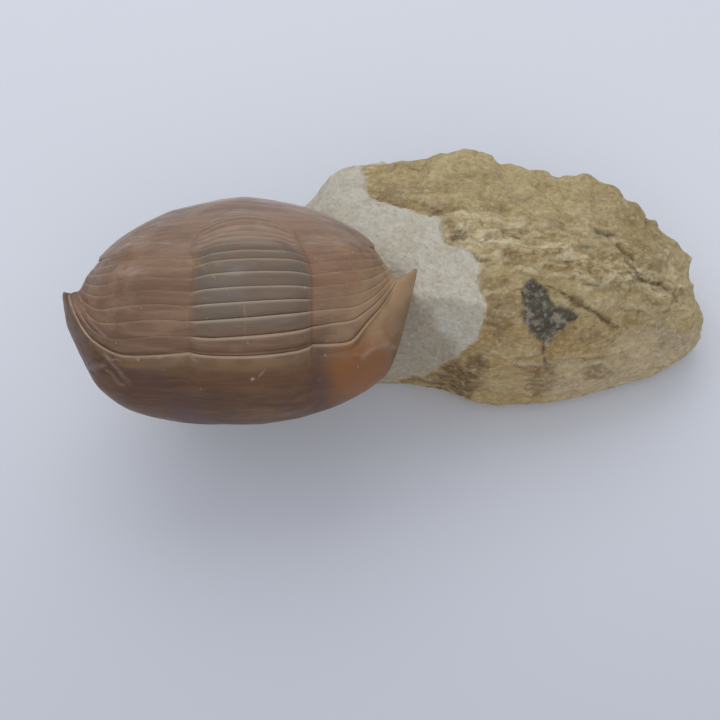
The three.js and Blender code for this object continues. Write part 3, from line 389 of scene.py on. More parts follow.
def plate(name, node, ring, mat, masks):
    """ring: list of (u, depth over v, outer) round the plate's section; swept from tip to tip"""
    us = np.array([r[0] for r in ring])
    dep = np.stack([np.broadcast_to(r[1], V.shape) for r in ring])
    out = np.array([r[2] for r in ring])
    mid = 0.85
    end = np.sqrt(np.clip(1 - np.clip((np.abs(V) - 6.72) / 0.28, 0, 1) ** 2, 0.012, 1))
    dep = mid + (dep - mid) * end[None, :]
    B, N = base(us, V), normals(us, V)
    R = relief(us[:, None], V[None, :])
    up, lines = strokes(B, np.broadcast_to(us[:, None], B.shape[:2]))
    P = B + N * (R + up * (dep < 0.3) - dep * thin(V)[None, :])[:, :, None]
    n, m = P.shape[:2]
    flat = P.reshape(-1, 3)
    # slow unevenness and fine transverse wear, only on the outside
    wave = 0.10 * fbm(flat * [0.16, 0.22, 0.22], 3, 11) + 0.035 * fbm(flat * [0.35, 1.5, 1.5], 3, 23) \
        + 0.016 * fbm(flat * [1.1, 3.0, 3.0], 2, 31)
    pits = smooth((noise(flat * 0.9, 57) - 0.52) / 0.1) * 0.05
    P = P + N * ((wave - pits).reshape(n, m) * out[:, None])[:, :, None]
    flat = P.reshape(-1, 3)
    i, j = np.meshgrid(np.arange(n), np.arange(m - 1), indexing="ij")
    i2 = (i + 1) % n
    quads = np.stack([i * m + j, i * m + j + 1, i2 * m + j + 1, i2 * m + j], -1).reshape(-1, 4)
    # ends: a centre point closes each tiny end ring
    cl, cr = P[:, 0].mean(0), P[:, -1].mean(0)
    flat = np.concatenate([flat, [cl, cr]])
    a = np.arange(n)
    b = (a + 1) % n
    tl = np.stack([a * m, b * m, np.full(n, n * m)], -1)
    tr = np.stack([b * m + m - 1, a * m + m - 1, np.full(n, n * m + 1)], -1)
    tris = np.concatenate([tl, tr])
    q = flat[quads]
    vol = np.einsum("ij,ij->i", q[:, 0], np.cross(q[:, 1], q[:, 2])).sum() + \
        np.einsum("ij,ij->i", q[:, 0], np.cross(q[:, 2], q[:, 3])).sum()
    if vol < 0:
        quads, tris = quads[:, ::-1], tris[:, ::-1]
    ob = make_mesh(name, flat, quads, tris)
    UU = np.broadcast_to(us[:, None], (n, m))
    VV = np.broadcast_to(V[None, :], (n, m))
    for key, val in masks(UU, VV, P, out[:, None] * np.ones((1, m)), lines).items():
        val = np.concatenate([val.ravel(), [0, 0]])
        put(ob, key, val)
    ob.data.materials.append(mat)
    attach(ob, "root")
    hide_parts(node)
    return ob


def surface_point(u, v):
    u, v = np.array([float(u)]), np.array([float(v)])
    return (base(u, v) + normals(u, v) * relief(u[:, None], v[None, :])[:, :, None])[0, 0]


def blob(P, u0, v0, rx, rw, ang=0.0, power=1.0):
    """soft spot round a surface point; rx and rw are its half sizes in mm along and across X"""
    c = surface_point(u0, v0)
    D = P - c
    w = 0.866 * D[..., 1] + 0.5 * D[..., 2]
    x = D[..., 0]
    ca, sa = math.cos(math.radians(ang)), math.sin(math.radians(ang))
    a, b = (x * ca + w * sa) / rx, (-x * sa + w * ca) / rw
    return np.exp(-(a * a + b * b) ** power)


def shell_masks(UU, VV, P, out, lines):
    t, h = axis_t(UU, VV)
    flat = P.reshape(-1, 3)
    sh = UU.shape
    n1 = fbm(flat * 0.28, 3, 71).reshape(sh)
    n2 = fbm(flat * [0.35, 1.3, 1.3], 3, 77).reshape(sh)
    # painted shade in the crevices and painted highlight on the rims at the joints
    painted_crevice_shade = np.zeros(sh)
    painted_rim_highlight = np.zeros(sh)
    for k in range(9):
        ub = U[HEAD_REAR + k]
        s = joint_step(k, VV[0])[None, :] / 0.4
        behind = UU - ub
        painted_crevice_shade = np.maximum(painted_crevice_shade, np.where(behind >= -0.02, 0.75 * np.exp(-np.clip(behind, 0, 9) / 0.75) + 0.25 * np.exp(-np.clip(behind, 0, 9) / 0.2), 0) * np.clip(0.05 + 0.75 * s, 0, 1) * (out > 0))
        # painted highlight along each plate's rear lip
        painted_rim_highlight = np.maximum(painted_rim_highlight, np.where(behind < 0, gauss((behind + 0.13) / 0.24), 0) * np.clip(1.25 * s - 0.10, 0, 1))
    # hidden inner faces get full painted shade
    painted_crevice_shade = np.maximum(painted_crevice_shade, np.where(out > 0, 0, 1.0))
    thorax = smooth((UU - 25) / 2.5) * (1 - smooth((UU - UT - 2) / 5))
    # painted shade along the axial furrows
    furrow = gauss((t - 1.0) / 0.03) * thorax * np.where(VV > 0, 1.0, 0.35)
    for u0, a in TAIL_RINGS:
        ring = UU + np.minimum(t, 1.2) ** 2 * (0.35 + 0.36 * np.clip(UU - 45.4, 0, 9))
        # painted shade in the grooves of the tail rings
        furrow = np.maximum(furrow, gauss((ring - u0) / 0.16) * smooth((1.02 - t) / 0.15) * smooth((UU - UT) / 0.3) * a / 0.16)
        # painted highlight on the crest just ahead of each tail ring groove
        painted_rim_highlight = np.maximum(painted_rim_highlight, 0.8 * gauss((ring - u0 + 0.45) / 0.26) * smooth((1.02 - t) / 0.15) * smooth((UU - UT) / 0.3) * a / 0.16)
    axis = smooth((UU - 28.5) / 6) * (1 - smooth((UU - 43.2) / 3.0)) * smooth((1.0 - t) / 0.16) * np.clip(0.85 + 0.5 * n1, 0, 1)
    dark = 0.95 * blob(P, 23.4, -3.05, 2.6, 2.0, -30) + 1.15 * blob(P, 17.0, -1.9, 2.6, 3.2, 20) \
        + 0.9 * blob(P, 25.7, 2.3, 0.9, 1.7, 0) + 0.85 * blob(P, 18.6, 2.25, 1.3, 2.6, -12) \
        + 0.5 * blob(P, 21.6, 2.15, 0.7, 2.2) + 0.55 * blob(P, 12.0, -1.3, 4.5, 1.4) \
        + 0.45 * blob(P, 24.0, -4.2, 2.2, 1.8)
    dark = np.clip(dark * (0.9 + 0.8 * n1), 0, 1)
    orange = np.clip((1.1 * blob(P, 18.5, 3.1, 4.6, 5.2, 25) + 0.8 * blob(P, 20.5, 3.9, 3.4, 3.2)
                      + 0.5 * blob(P, 10.0, 3.4, 4.0, 3.0)) * (0.9 + 0.5 * n1), 0, 1) * smooth((t - 1.02) / 0.12) * (UU < UH - 0.05)
    tan = blob(P, 27.5, 4.9, 6.5, 4.5) + 0.8 * blob(P, 33.0, 6.0, 4.5, 4.5)
    tan += 1.1 * smooth((VV - 5.7) / 0.8) * smooth((27 - UU) / 6) + 0.9 * smooth((VV - 6.3) / 0.5)
    tan = np.clip(tan * (0.8 + 0.5 * n1), 0, 1)
    tan = np.maximum(tan, 0.55 * smooth((UU - (UH - 4.5)) / 4.0) * (UU < UH + 0.1) * np.clip(0.9 + 0.6 * n1, 0, 1))
    pale = 0.62 * blob(P, 23.56, 0.1, 0.26, 0.20, 0, 1.4) \
        + 0.22 * blob(P, 24.45, 0.3, 0.16, 0.8, -42, 1.4)
    pale += 0.55 * smooth((UU - 58.6) / 2.2) * np.clip(0.8 + 0.7 * n2, 0, 1)
    pale += 0.30 * blob(P, 41.0, -4.0, 2.6, 1.2) * np.clip(0.6 + n2, 0, 1)
    # stroke paleness: painted highlight on the raised ridges, pale wear on the scratches
    pale += lines * np.clip(0.75 + 1.3 * n2, 0, 1.3)
    pale = np.clip(pale, 0, 1)
    green = np.clip(0.9 * blob(P, 42.0, -2.2, 0.7, 0.35, -35) + 0.8 * blob(P, 41.3, -1.75, 0.9, 0.3, -35), 0, 1)
    # painted sheen: a greyish reflection spot on the upper thoracic axis
    grey = np.clip(0.9 * blob(P, 39.4, -0.35, 1.5, 0.9) + 0.35 * blob(P, 37.0, -0.6, 2.5, 1.6), 0, 1)
    return {"painted_crevice_shade": painted_crevice_shade, "painted_rim_highlight": painted_rim_highlight, "furrow": furrow, "axis": axis, "dark": dark, "orange": orange,
            "tan": tan, "pale": pale, "green": green, "grey": grey}


# ------------------------------------------------------------------ materials
def lin(r, g, b):
    def f(c):
        c /= 255.0
        return c / 12.92 if c <= 0.04045 else ((c + 0.055) / 1.055) ** 2.4
    return (f(r), f(g), f(b), 1.0)


class Nodes:
    def __init__(self, name):
        self.mat = bpy.data.materials.new(name)
        self.mat.use_nodes = True
        self.t = self.mat.node_tree
        self.t.nodes.clear()
        self.out = self.t.nodes.new("ShaderNodeOutputMaterial")
        self.bsdf = self.t.nodes.new("ShaderNodeBsdfPrincipled")
        self.link(self.bsdf.outputs[0], self.out.inputs[0])
        self.co = self.t.nodes.new("ShaderNodeTexCoord").outputs["Object"]

    def link(self, a, b):
        self.t.links.new(a, b)

    def attr(self, name):
        n = self.t.nodes.new("ShaderNodeAttribute")
        n.attribute_name = name
        return n.outputs["Fac"]

    def scaled(self, scale):
        n = self.t.nodes.new("ShaderNodeMapping")
        n.inputs["Scale"].default_value = scale
        self.link(self.co, n.inputs["Vector"])
        return n.outputs[0]

    def noise(self, scale, detail=4, rough=0.55, stretch=(1, 1, 1), distortion=0.0):
        n = self.t.nodes.new("ShaderNodeTexNoise")
        n.inputs["Scale"].default_value = scale
        n.inputs["Detail"].default_value = detail
        n.inputs["Roughness"].default_value = rough
        n.inputs["Distortion"].default_value = distortion
        self.link(self.scaled(stretch), n.inputs["Vector"])
        return n.outputs["Fac"]

    def voronoi(self, scale, stretch=(1, 1, 1), feature="F1"):
        n = self.t.nodes.new("ShaderNodeTexVoronoi")
        n.feature = feature
        n.inputs["Scale"].default_value = scale
        self.link(self.scaled(stretch), n.inputs["Vector"])
        return n.outputs["Distance"]

    def map(self, x, a, b, c=0.0, d=1.0):
        n = self.t.nodes.new("ShaderNodeMapRange")
        n.inputs["From Min"].default_value, n.inputs["From Max"].default_value = a, b
        n.inputs["To Min"].default_value, n.inputs["To Max"].default_value = c, d
        n.clamp = True
        self.link(x, n.inputs["Value"])
        return n.outputs[0]

    def math(self, op, a, b=None):
        n = self.t.nodes.new("ShaderNodeMath")
        n.operation = op
        for k, x in enumerate((a, b)):
            if x is None:
                continue
            if isinstance(x, (int, float)):
                n.inputs[k].default_value = x
            else:
                self.link(x, n.inputs[k])
        return n.outputs[0]

    def mix(self, fac, a, b, mode="MIX"):
        n = self.t.nodes.new("ShaderNodeMix")
        n.data_type = "RGBA"
        n.blend_type = mode
        for sock, x in ((n.inputs["Factor"], fac), (n.inputs[6], a), (n.inputs[7], b)):
            if isinstance(x, (int, float)):
                sock.default_value = x
            elif isinstance(x, tuple):
                sock.default_value = x
            else:
                self.link(x, sock)
        return n.outputs[2]

    def finish(self, color, rough, heights, ior=1.5):
        self.link(color, self.bsdf.inputs["Base Color"])
        self.link(rough, self.bsdf.inputs["Roughness"])
        self.bsdf.inputs["IOR"].default_value = ior
        prev = None
        for h, dist, strength in heights:
            n = self.t.nodes.new("ShaderNodeBump")
            n.inputs["Distance"].default_value = dist
            n.inputs["Strength"].default_value = strength
            self.link(h, n.inputs["Height"])
            if prev is not None:
                self.link(prev, n.inputs["Normal"])
            prev = n.outputs[0]
        if prev is not None:
            self.link(prev, self.bsdf.inputs["Normal"])
        return self.mat


def shell_material(name, light, mid, deep, warm):
    m = Nodes(name)
    broad = m.noise(90, 4, 0.55, (0.7, 1, 1))
    streak = m.noise(460, 6, 0.68, (0.13, 1, 1.2), 0.5)
    mott = m.noise(230, 5, 0.65, (0.6, 1, 1), 0.3)
    fine = m.noise(1500, 3, 0.6)
    c = m.mix(m.map(broad, 0.36, 0.64), deep, mid)
    c = m.mix(m.math("MULTIPLY", m.map(streak, 0.44, 0.66), 0.60), c, light)
    c = m.mix(m.math("MULTIPLY", m.map(streak, 0.48, 0.34), 0.45), c, deep)
    c = m.mix(m.math("MULTIPLY", m.map(mott, 0.54, 0.66), 0.35), c, light)
    c = m.mix(m.math("MULTIPLY", m.map(m.noise(45, 3, 0.5), 0.5, 0.68), 0.45), c, warm)
    c = m.mix(m.math("MULTIPLY", m.attr("tan"), 0.75), c, lin(*TAN))
    c = m.mix(m.math("MULTIPLY", m.attr("axis"), 0.80), c, lin(*AXIS))
    # painted sheen spot
    c = m.mix(m.math("MULTIPLY", m.attr("grey"), 0.6), c, lin(*PAINTED_SHEEN_GREY))
    c = m.mix(m.math("MULTIPLY", m.attr("orange"), 0.8), c, lin(*ORANGE))
    c = m.mix(m.math("MULTIPLY", m.attr("dark"), 0.72), c, lin(*PURPLE))
    c = m.mix(m.math("MULTIPLY", m.attr("green"), 0.55), c, lin(150, 146, 98))
    # painted highlight on the lips and ring crests
    c = m.mix(m.math("MULTIPLY", m.attr("painted_rim_highlight"), 0.45), c, lin(*PAINTED_HIGHLIGHT))
    # painted shade in the furrows and ring grooves
    c = m.mix(m.math("MULTIPLY", m.attr("furrow"), 0.20), c, lin(80, 60, 48))
    # painted shade in the joint crevices and on the inner faces
    c = m.mix(m.math("MULTIPLY", m.attr("painted_crevice_shade"), 0.42), c, lin(74, 54, 42))
    c = m.mix(m.attr("pale"), c, lin(*PALE))
    speck = m.map(m.noise(900, 2, 0.5), 0.72, 0.78)
    c = m.mix(m.math("MULTIPLY", speck, 0.25), c, lin(*PALE))
    rough = m.map(m.noise(260, 3, 0.6), 0.3, 0.7, 0.34, 0.50)
    return m.finish(c, rough, [(streak, 0.00010, 0.5), (fine, 0.00004, 0.5)], 1.5)


TAN = (174, 142, 106)
AXIS = (106, 97, 85)
PAINTED_SHEEN_GREY = (132, 132, 132)
ORANGE = (140, 88, 38)
PURPLE = (84, 58, 54)
PAINTED_HIGHLIGHT = (205, 184, 160)
PALE = (208, 194, 186)

head_mat = shell_material("head_calcite", lin(121, 85, 50), lin(95, 63, 34), lin(79, 50, 29), lin(107, 66, 31))
body_mat = shell_material("body_calcite", lin(154, 122, 95), lin(128, 96, 73), lin(108, 79, 58), lin(138, 97, 68))
tail_mat = shell_material("tail_calcite", lin(166, 140, 118), lin(139, 110, 90), lin(117, 90, 72), lin(152, 113, 87))

# ------------------------------------------------------------------ the ten plates
SKIN = 2.08      # depth at which the plates meet the rock inside


def arc(n):
    return np.linspace(0, np.pi / 2, n)


def lip(k, ub):
    """rounded rear lip over the next plate, its underside and the wall behind it"""
    s = joint_step(k, V)
    r = []
    for a in arc(8):
        r.append((ub - 0.30 * (1 - math.sin(a)), 0.88 * s * (1 - math.cos(a)), 1))
    r.append((ub - 0.03, s * 0.92 + 0.01, 0))
    r.append((ub - 0.35, s * 0.92 + 0.05, 0))
    r.append((ub - 0.72, s * 0.92 + 0.09, 0))
    r.append((ub - 0.78, s * 0.92 + 0.55, 0))
    return r


def front(k, ua, L, n):
    """tongue under the plate ahead and the rise to the finished surface"""
    s = joint_step(k, V)
    r = [(ua - 0.60, s + 0.75, 0), (ua - 0.55, s + 0.30, 0), (ua - 0.35, s + 0.16, 0), (ua - 0.10, s + 0.07, 0)]
    for f in np.linspace(0, 1, n):
        x = f ** 1.25
        u = ua + 0.01 + x * 0.72 * L
        fall = 1 - x
        r.append((u, s * fall ** 1.6 + 0.02 * fall ** 8, 1))
    return r


def inner(us):
    return [(u, SKIN, 0) for u in us]


made = []
# head shield
ring = []
for a in arc(9):
    ring.append((0.75 * (1 - math.cos(a)), 0.95 * (1 - math.sin(a)), 1))
nh = 150
for f in np.linspace(0, 1, nh)[1:]:
    ring.append((0.75 + (UH - 0.30 - 0.75) * f, 0.0, 1))
ring += lip(0, UH)[1:]
ring.append((UH - 0.95, SKIN, 0))
ring += inner(np.linspace(UH - 1.9, 1.5, 22))
ring += [(0.75, 1.95, 0), (0.3, 1.65, 0), (0.06, 1.3, 0)]
made.append(plate("head_shield", "cephalon", ring, head_mat, shell_masks))
# thoracic segments
for k in range(1, 9):
    ua, ub = U[HEAD_REAR + k - 1], U[HEAD_REAR + k]
    L = ub - ua
    ring = front(k - 1, ua, L, 20)
    a, b = ua + 0.01 + 0.72 * L, ub - 0.30
    b = max(b, a + 0.05)
    for f in np.linspace(0, 1, 6)[1:-1]:
        ring.append((a + (b - a) * f, 0.0, 1))
    ring += lip(k, ub)
    ring += inner([ub - 0.8, (ua + ub) / 2, ua - 0.3])
    ring.append((ua - 0.6, SKIN, 0))
    made.append(plate("thoracic_ring_%d" % k, "thoracic_segment_%d" % k, ring, body_mat, shell_masks))
# tail shield
ring = front(8, UT, 2.6, 16)
a = UT + 0.01 + 0.72 * 2.6
nt = 96
for f in np.linspace(0, 1, nt)[1:-1]:
    ring.append((a + (UEND - 0.75 - a) * f, 0.0, 1))
for t_ in arc(8):
    ring.append((UEND - 0.75 * (1 - math.sin(t_)), 0.8 * (1 - math.cos(t_)), 1))
ring += [(UEND - 0.05, 1.2, 0), (UEND - 0.3, 1.6, 0), (UEND - 0.8, 1.95, 0)]
ring += inner(np.linspace(UEND - 1.6, UT + 0.4, 14))
ring.append((UT - 0.6, SKIN, 0))
made.append(plate("tail_shield", "pygidium", ring, tail_mat, shell_masks))

# ------------------------------------------------------------------ the limestone
def grow_rock():
    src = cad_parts["matrix"]
    ob = bpy.data.objects.new("rock_source", src.data.copy())
    bpy.context.scene.collection.objects.link(ob)
    mod = ob.modifiers.new("remesh", "REMESH")
    mod.mode = "VOXEL"
    mod.voxel_size = 0.42 * MM
    dg = bpy.context.evaluated_depsgraph_get()
    me = bpy.data.meshes.new_from_object(ob.evaluated_get(dg))
    bpy.data.objects.remove(ob)
    n = len(me.vertices)
    co = np.zeros(n * 3, np.float32)
    me.vertices.foreach_get("co", co)
    P = co.reshape(-1, 3).astype(float) / MM
    ne = len(me.edges)
    ed = np.zeros(ne * 2, np.int32)
    me.edges.foreach_get("vertices", ed)
    ed = ed.reshape(-1, 2)
    return me, P, ed


def vertex_normals(me, P):
    me.vertices.foreach_set("co", (P * MM).astype(np.float32).ravel())
    me.update()
    no = np.zeros(len(P) * 3, np.float32)
    me.vertices.foreach_get("normal", no)
    return no.reshape(-1, 3).astype(float)


def relax(P, ed, weight, steps):
    deg = np.bincount(ed.ravel(), minlength=len(P)).astype(float)[:, None]
    for _ in range(steps):
        s = np.zeros_like(P)
        for k in range(3):
            s[:, k] = np.bincount(ed[:, 0], P[ed[:, 1], k], len(P)) + np.bincount(ed[:, 1], P[ed[:, 0], k], len(P))
        P = P + (s / deg - P) * weight[:, None]
    return P


def inside(poly, x, w, soft):
    """signed distance to a closed polygon in the (x, w) plane turned into a soft 0..1 mask"""
    poly = np.asarray(poly, float)
    n = len(poly)
    best = np.full(x.shape, 1e9)
    hit = np.zeros(x.shape, bool)
    for i in range(n):
        ax, aw = poly[i]
        bx, bw = poly[(i + 1) % n]
        ex, ew = bx - ax, bw - aw
        t = np.clip(((x - ax) * ex + (w - aw) * ew) / (ex * ex + ew * ew), 0, 1)
        best = np.minimum(best, np.hypot(x - ax - t * ex, w - aw - t * ew))
        c = ((aw > w) != (bw > w)) & (x < (bx - ax) * (w - aw) / (bw - aw + 1e-12) + ax)
        hit ^= c
    return smooth((np.where(hit, best, -best) + soft) / (2 * soft))


def line(points, x, w):
    """distance to an open polyline in the (x, w) plane"""
    best = np.full(x.shape, 1e9)
    for (ax, aw), (bx, bw) in zip(points[:-1], points[1:]):
        ex, ew = bx - ax, bw - aw
        t = np.clip(((x - ax) * ex + (w - aw) * ew) / (ex * ex + ew * ew), 0, 1)
        best = np.minimum(best, np.hypot(x - ax - t * ex, w - aw - t * ew))
    return best


BROW = [(22.0, -0.4), (26.6, 0.1), (36.2, 0.1), (40.5, 0.7), (44.2, 1.7), (48.5, 4.6)]
SHIFT_UP = [[-14, 0.3], [-10.1, 1.0], [-6, 0.1], [0.2, 0], [5.2, 0.1], [8.0, 0.1], [10.4, 1.1], [12.7, 1.0], [17, 0.2], [21, 0.9], [24, 0.3], [28.4, 0.4], [30.1, 0.7], [31.4, 0.5], [33.2, -0.25], [34.6, 0.2], [36.7, 0.6], [39, -0.4], [44, -0.6]]
SHIFT_OUT = [[-4, 0.6], [0, 0.9], [3.1, 0.7], [6.8, 0.6], [9, -0.4], [10.6, -1.1], [14.3, -1.6], [16.8, -0.6], [19.5, -1.0], [22.5, -1.5], [26, -0.3]]
# markings of the rock, laid out in the slanting plane x, w = 0.866 y + 0.5 z
PREPARED = [(-60, -20), (-60, 60), (-7, 60), (-5.36, 29.91), (-4.07, 26.0), (0.46, 24.44), (6.57, 22.24), (7.74, 18.84), (11.23, 17.05),
            (13.43, 14.95), (12.84, 11.69), (13.85, 8.32), (13.09, 3.18), (9.59, -0.03), (4.45, -2.72), (-1.5, -4.1), (-6, -20)]
PATCH = [(20.44, 11.92), (21.8, 12.75), (24.1, 10.6), (25.0, 8.95), (28.46, 8.6), (29.09, 6.73), (26.09, 4.0),
         (24.37, 2.23), (22.02, 2.71), (19.98, 5.71), (19.88, 10.13)]
CRACKS = [([(23.38, 2.23), (23.36, 0.94), (23.87, -0.35)], 0.30, 0.7), ([(28.44, 9.26), (31.04, 8.02), (33.41, 6.46), (35.63, 5.04)], 0.28, 0.6),
          ([(40.61, 13.11), (42.01, 12.31), (43.84, 12.03), (46.04, 11.42)], 0.35, 0.6), ([(24.0, 11.3), (26.0, 10.6), (28.44, 9.26)], 0.2, 0.35),
          ([(33.0, 20.9), (34.5, 19.9), (35.8, 20.3)], 0.4, 0.6), ([(36.6, 18.6), (37.9, 17.2), (38.9, 16.3)], 0.3, 0.5)]
LEDGES = [([(4.5, 25.4), (5.6, 24.9), (6.97, 24.49), (8.6, 25.2), (10.4, 25.0)], 0.5), ([(6.2, 22.4), (8.5, 20.6), (11.67, 19.59), (13.75, 18.94), (16.6, 20.33)], 0.6),
          ([(11.5, 17.2), (14.5, 15.4), (18.0, 15.2), (22.0, 14.6), (25.0, 15.5)], 0.5), ([(20.0, 13.6), (24.0, 12.8), (28.5, 12.9), (32.5, 11.6)], 0.5),
          ([(15.0, 21.8), (20.0, 20.6), (26.0, 21.2), (31.0, 20.2)], 0.35), ([(33.0, 17.6), (37.0, 16.9), (40.0, 14.2), (44.0, 13.6)], 0.5),
          ([(14.2, 9.8), (18.5, 10.6), (22.0, 11.4)], 0.4), ([(14.5, -0.6), (20.0, -1.2), (27.0, -0.6), (33.0, 0.6), (38.0, 1.0)], 0.55),
          ([(37.0, 8.2), (41.0, 7.4), (46.0, 8.4)], 0.4)]
# colour spots: (x, w, half width, half height, strength); the brown spots are stains, except those low on the front
# left (x -0.5 to 13.2, w -4.6 to -1.2), which are painted shade under the overhang
BROWN_STAINS_AND_SHADE = [(16.6, 8.4, 2.6, 1.4, .55), (26.0, 14.2, 3.6, 1.2, .18), (20.0, 17.0, 4.5, 1.6, .12), (18.0, 25.6, 5.0, 1.0, .25), (-1.1, 25.9, 3.1, 1.7, .55), (6.5, 23.6, 1.3, .8, .95), (9.6, 19.5, 1.7, 1.0, .95), (13.8, 15.8, 1.3, .9, .6), (15.3, 11.9, 2.6, 1.2, .6),
         (15.9, 5.9, 2.3, 3.4, .45), (23.6, -3.6, 2.9, 3.4, .6), (34.6, 11.9, 4.0, 1.7, .4), (29.0, 3.6, 5.5, 1.6, .35), (26.5, 21.8, 1.8, .7, .5),
         (37.8, 24.0, 2.6, 1.2, .0), (12.0, 28.5, 4.5, 1.2, .3), (33.5, -2.4, 3.6, 1.2, .5), (-0.5, -4.6, 3.8, 1.3, .8), (4.5, -3.9, 3.0, 1.6, .7),
         (9.8, -4.6, 4.2, 3.4, .95), (13.2, -1.2, 2.0, 1.4, .8), (17.6, 24.4, 3.0, .6, .35)]
CREAM = [(3.8, 30.1, 4.0, .8, .7), (-0.3, 29.2, 2.4, 1.1, .55), (8.0, 22.3, 3.4, 1.2, .75), (17.9, 21.3, 3.6, 1.1, .7), (12.2, 16.6, 1.7, 1.9, .75),
         (20.6, 14.1, 2.6, .8, .75), (14.8, 10.4, 2.2, .5, .55), (18.4, 1.2, 4.4, 1.1, .6), (16.9, -3.9, 2.3, 2.4, .6), (35.1, 17.6, 1.6, 1.0, .7),
         (27.5, 12.8, 3.0, .7, .5), (12.0, 19.0, 2.0, .8, .6), (38.8, 8.6, 1.5, .8, .6), (37.7, 2.4, 1.9, 1.7, .7), (32.5, 8.4, 2.6, 1.2, .5),
         (47.0, 13.2, 1.0, 1.4, .6), (24.2, 18.3, 3.4, .7, .45), (5.8, 26.2, 2.2, .6, .4), (34.6, 22.3, 4.2, 2.6, .38), (42.4, 7.5, 2.6, 1.5, .35), (3.3, 27.2, 3.4, 1.2, .35), (29.0, -2.6, 2.0, .8, .35)]
MAUVE = [(35.0, 22.6, 4.6, 3.0, .35), (42.4, 8.0, 3.0, 1.8, .4), (3.0, 27.4, 3.6, 1.3, .4), (33.8, 26.4, 1.6, 1.0, .5), (43.4, 16.8, 3.0, 2.6, .35), (45.6, 3.2, 3.4, 2.2, .6), (43.2, 5.9, 1.7, 1.0, .85), (40.2, 4.8, 1.5, 1.3, .45), (22.0, -1.0, 5.0, .5, .4)]
OCHRE = [([(32.67, 9.32), (35.54, 8.74), (37.28, 7.0), (36.52, 5.21), (34.36, 5.51), (32.81, 7.41)], 0.8), ([(38.33, 5.07), (41.09, 4.6), (42.25, 2.32), (39.88, 1.97)], 0.9),
         ([(39.8, 9.46), (42.04, 9.03), (41.79, 7.56), (40.11, 7.85)], 0.9), ([(46.16, 14.6), (48.15, 13.35), (47.65, 11.31), (45.7, 12.24)], 0.9),
         ([(5.5, 26.8), (9.5, 27.4), (9.2, 25.9), (6.2, 25.6)], 0.7), ([(18.0, -1.0), (22.5, -1.6), (22.0, -4.5), (18.5, -4.6)], 0.5),
         ([(35.2, 20.6), (37.2, 19.4), (36.9, 18.4), (35.0, 19.2)], 0.7), ([(27.0, 13.6), (30.0, 13.2), (29.6, 11.4), (27.6, 11.6)], 0.5)]


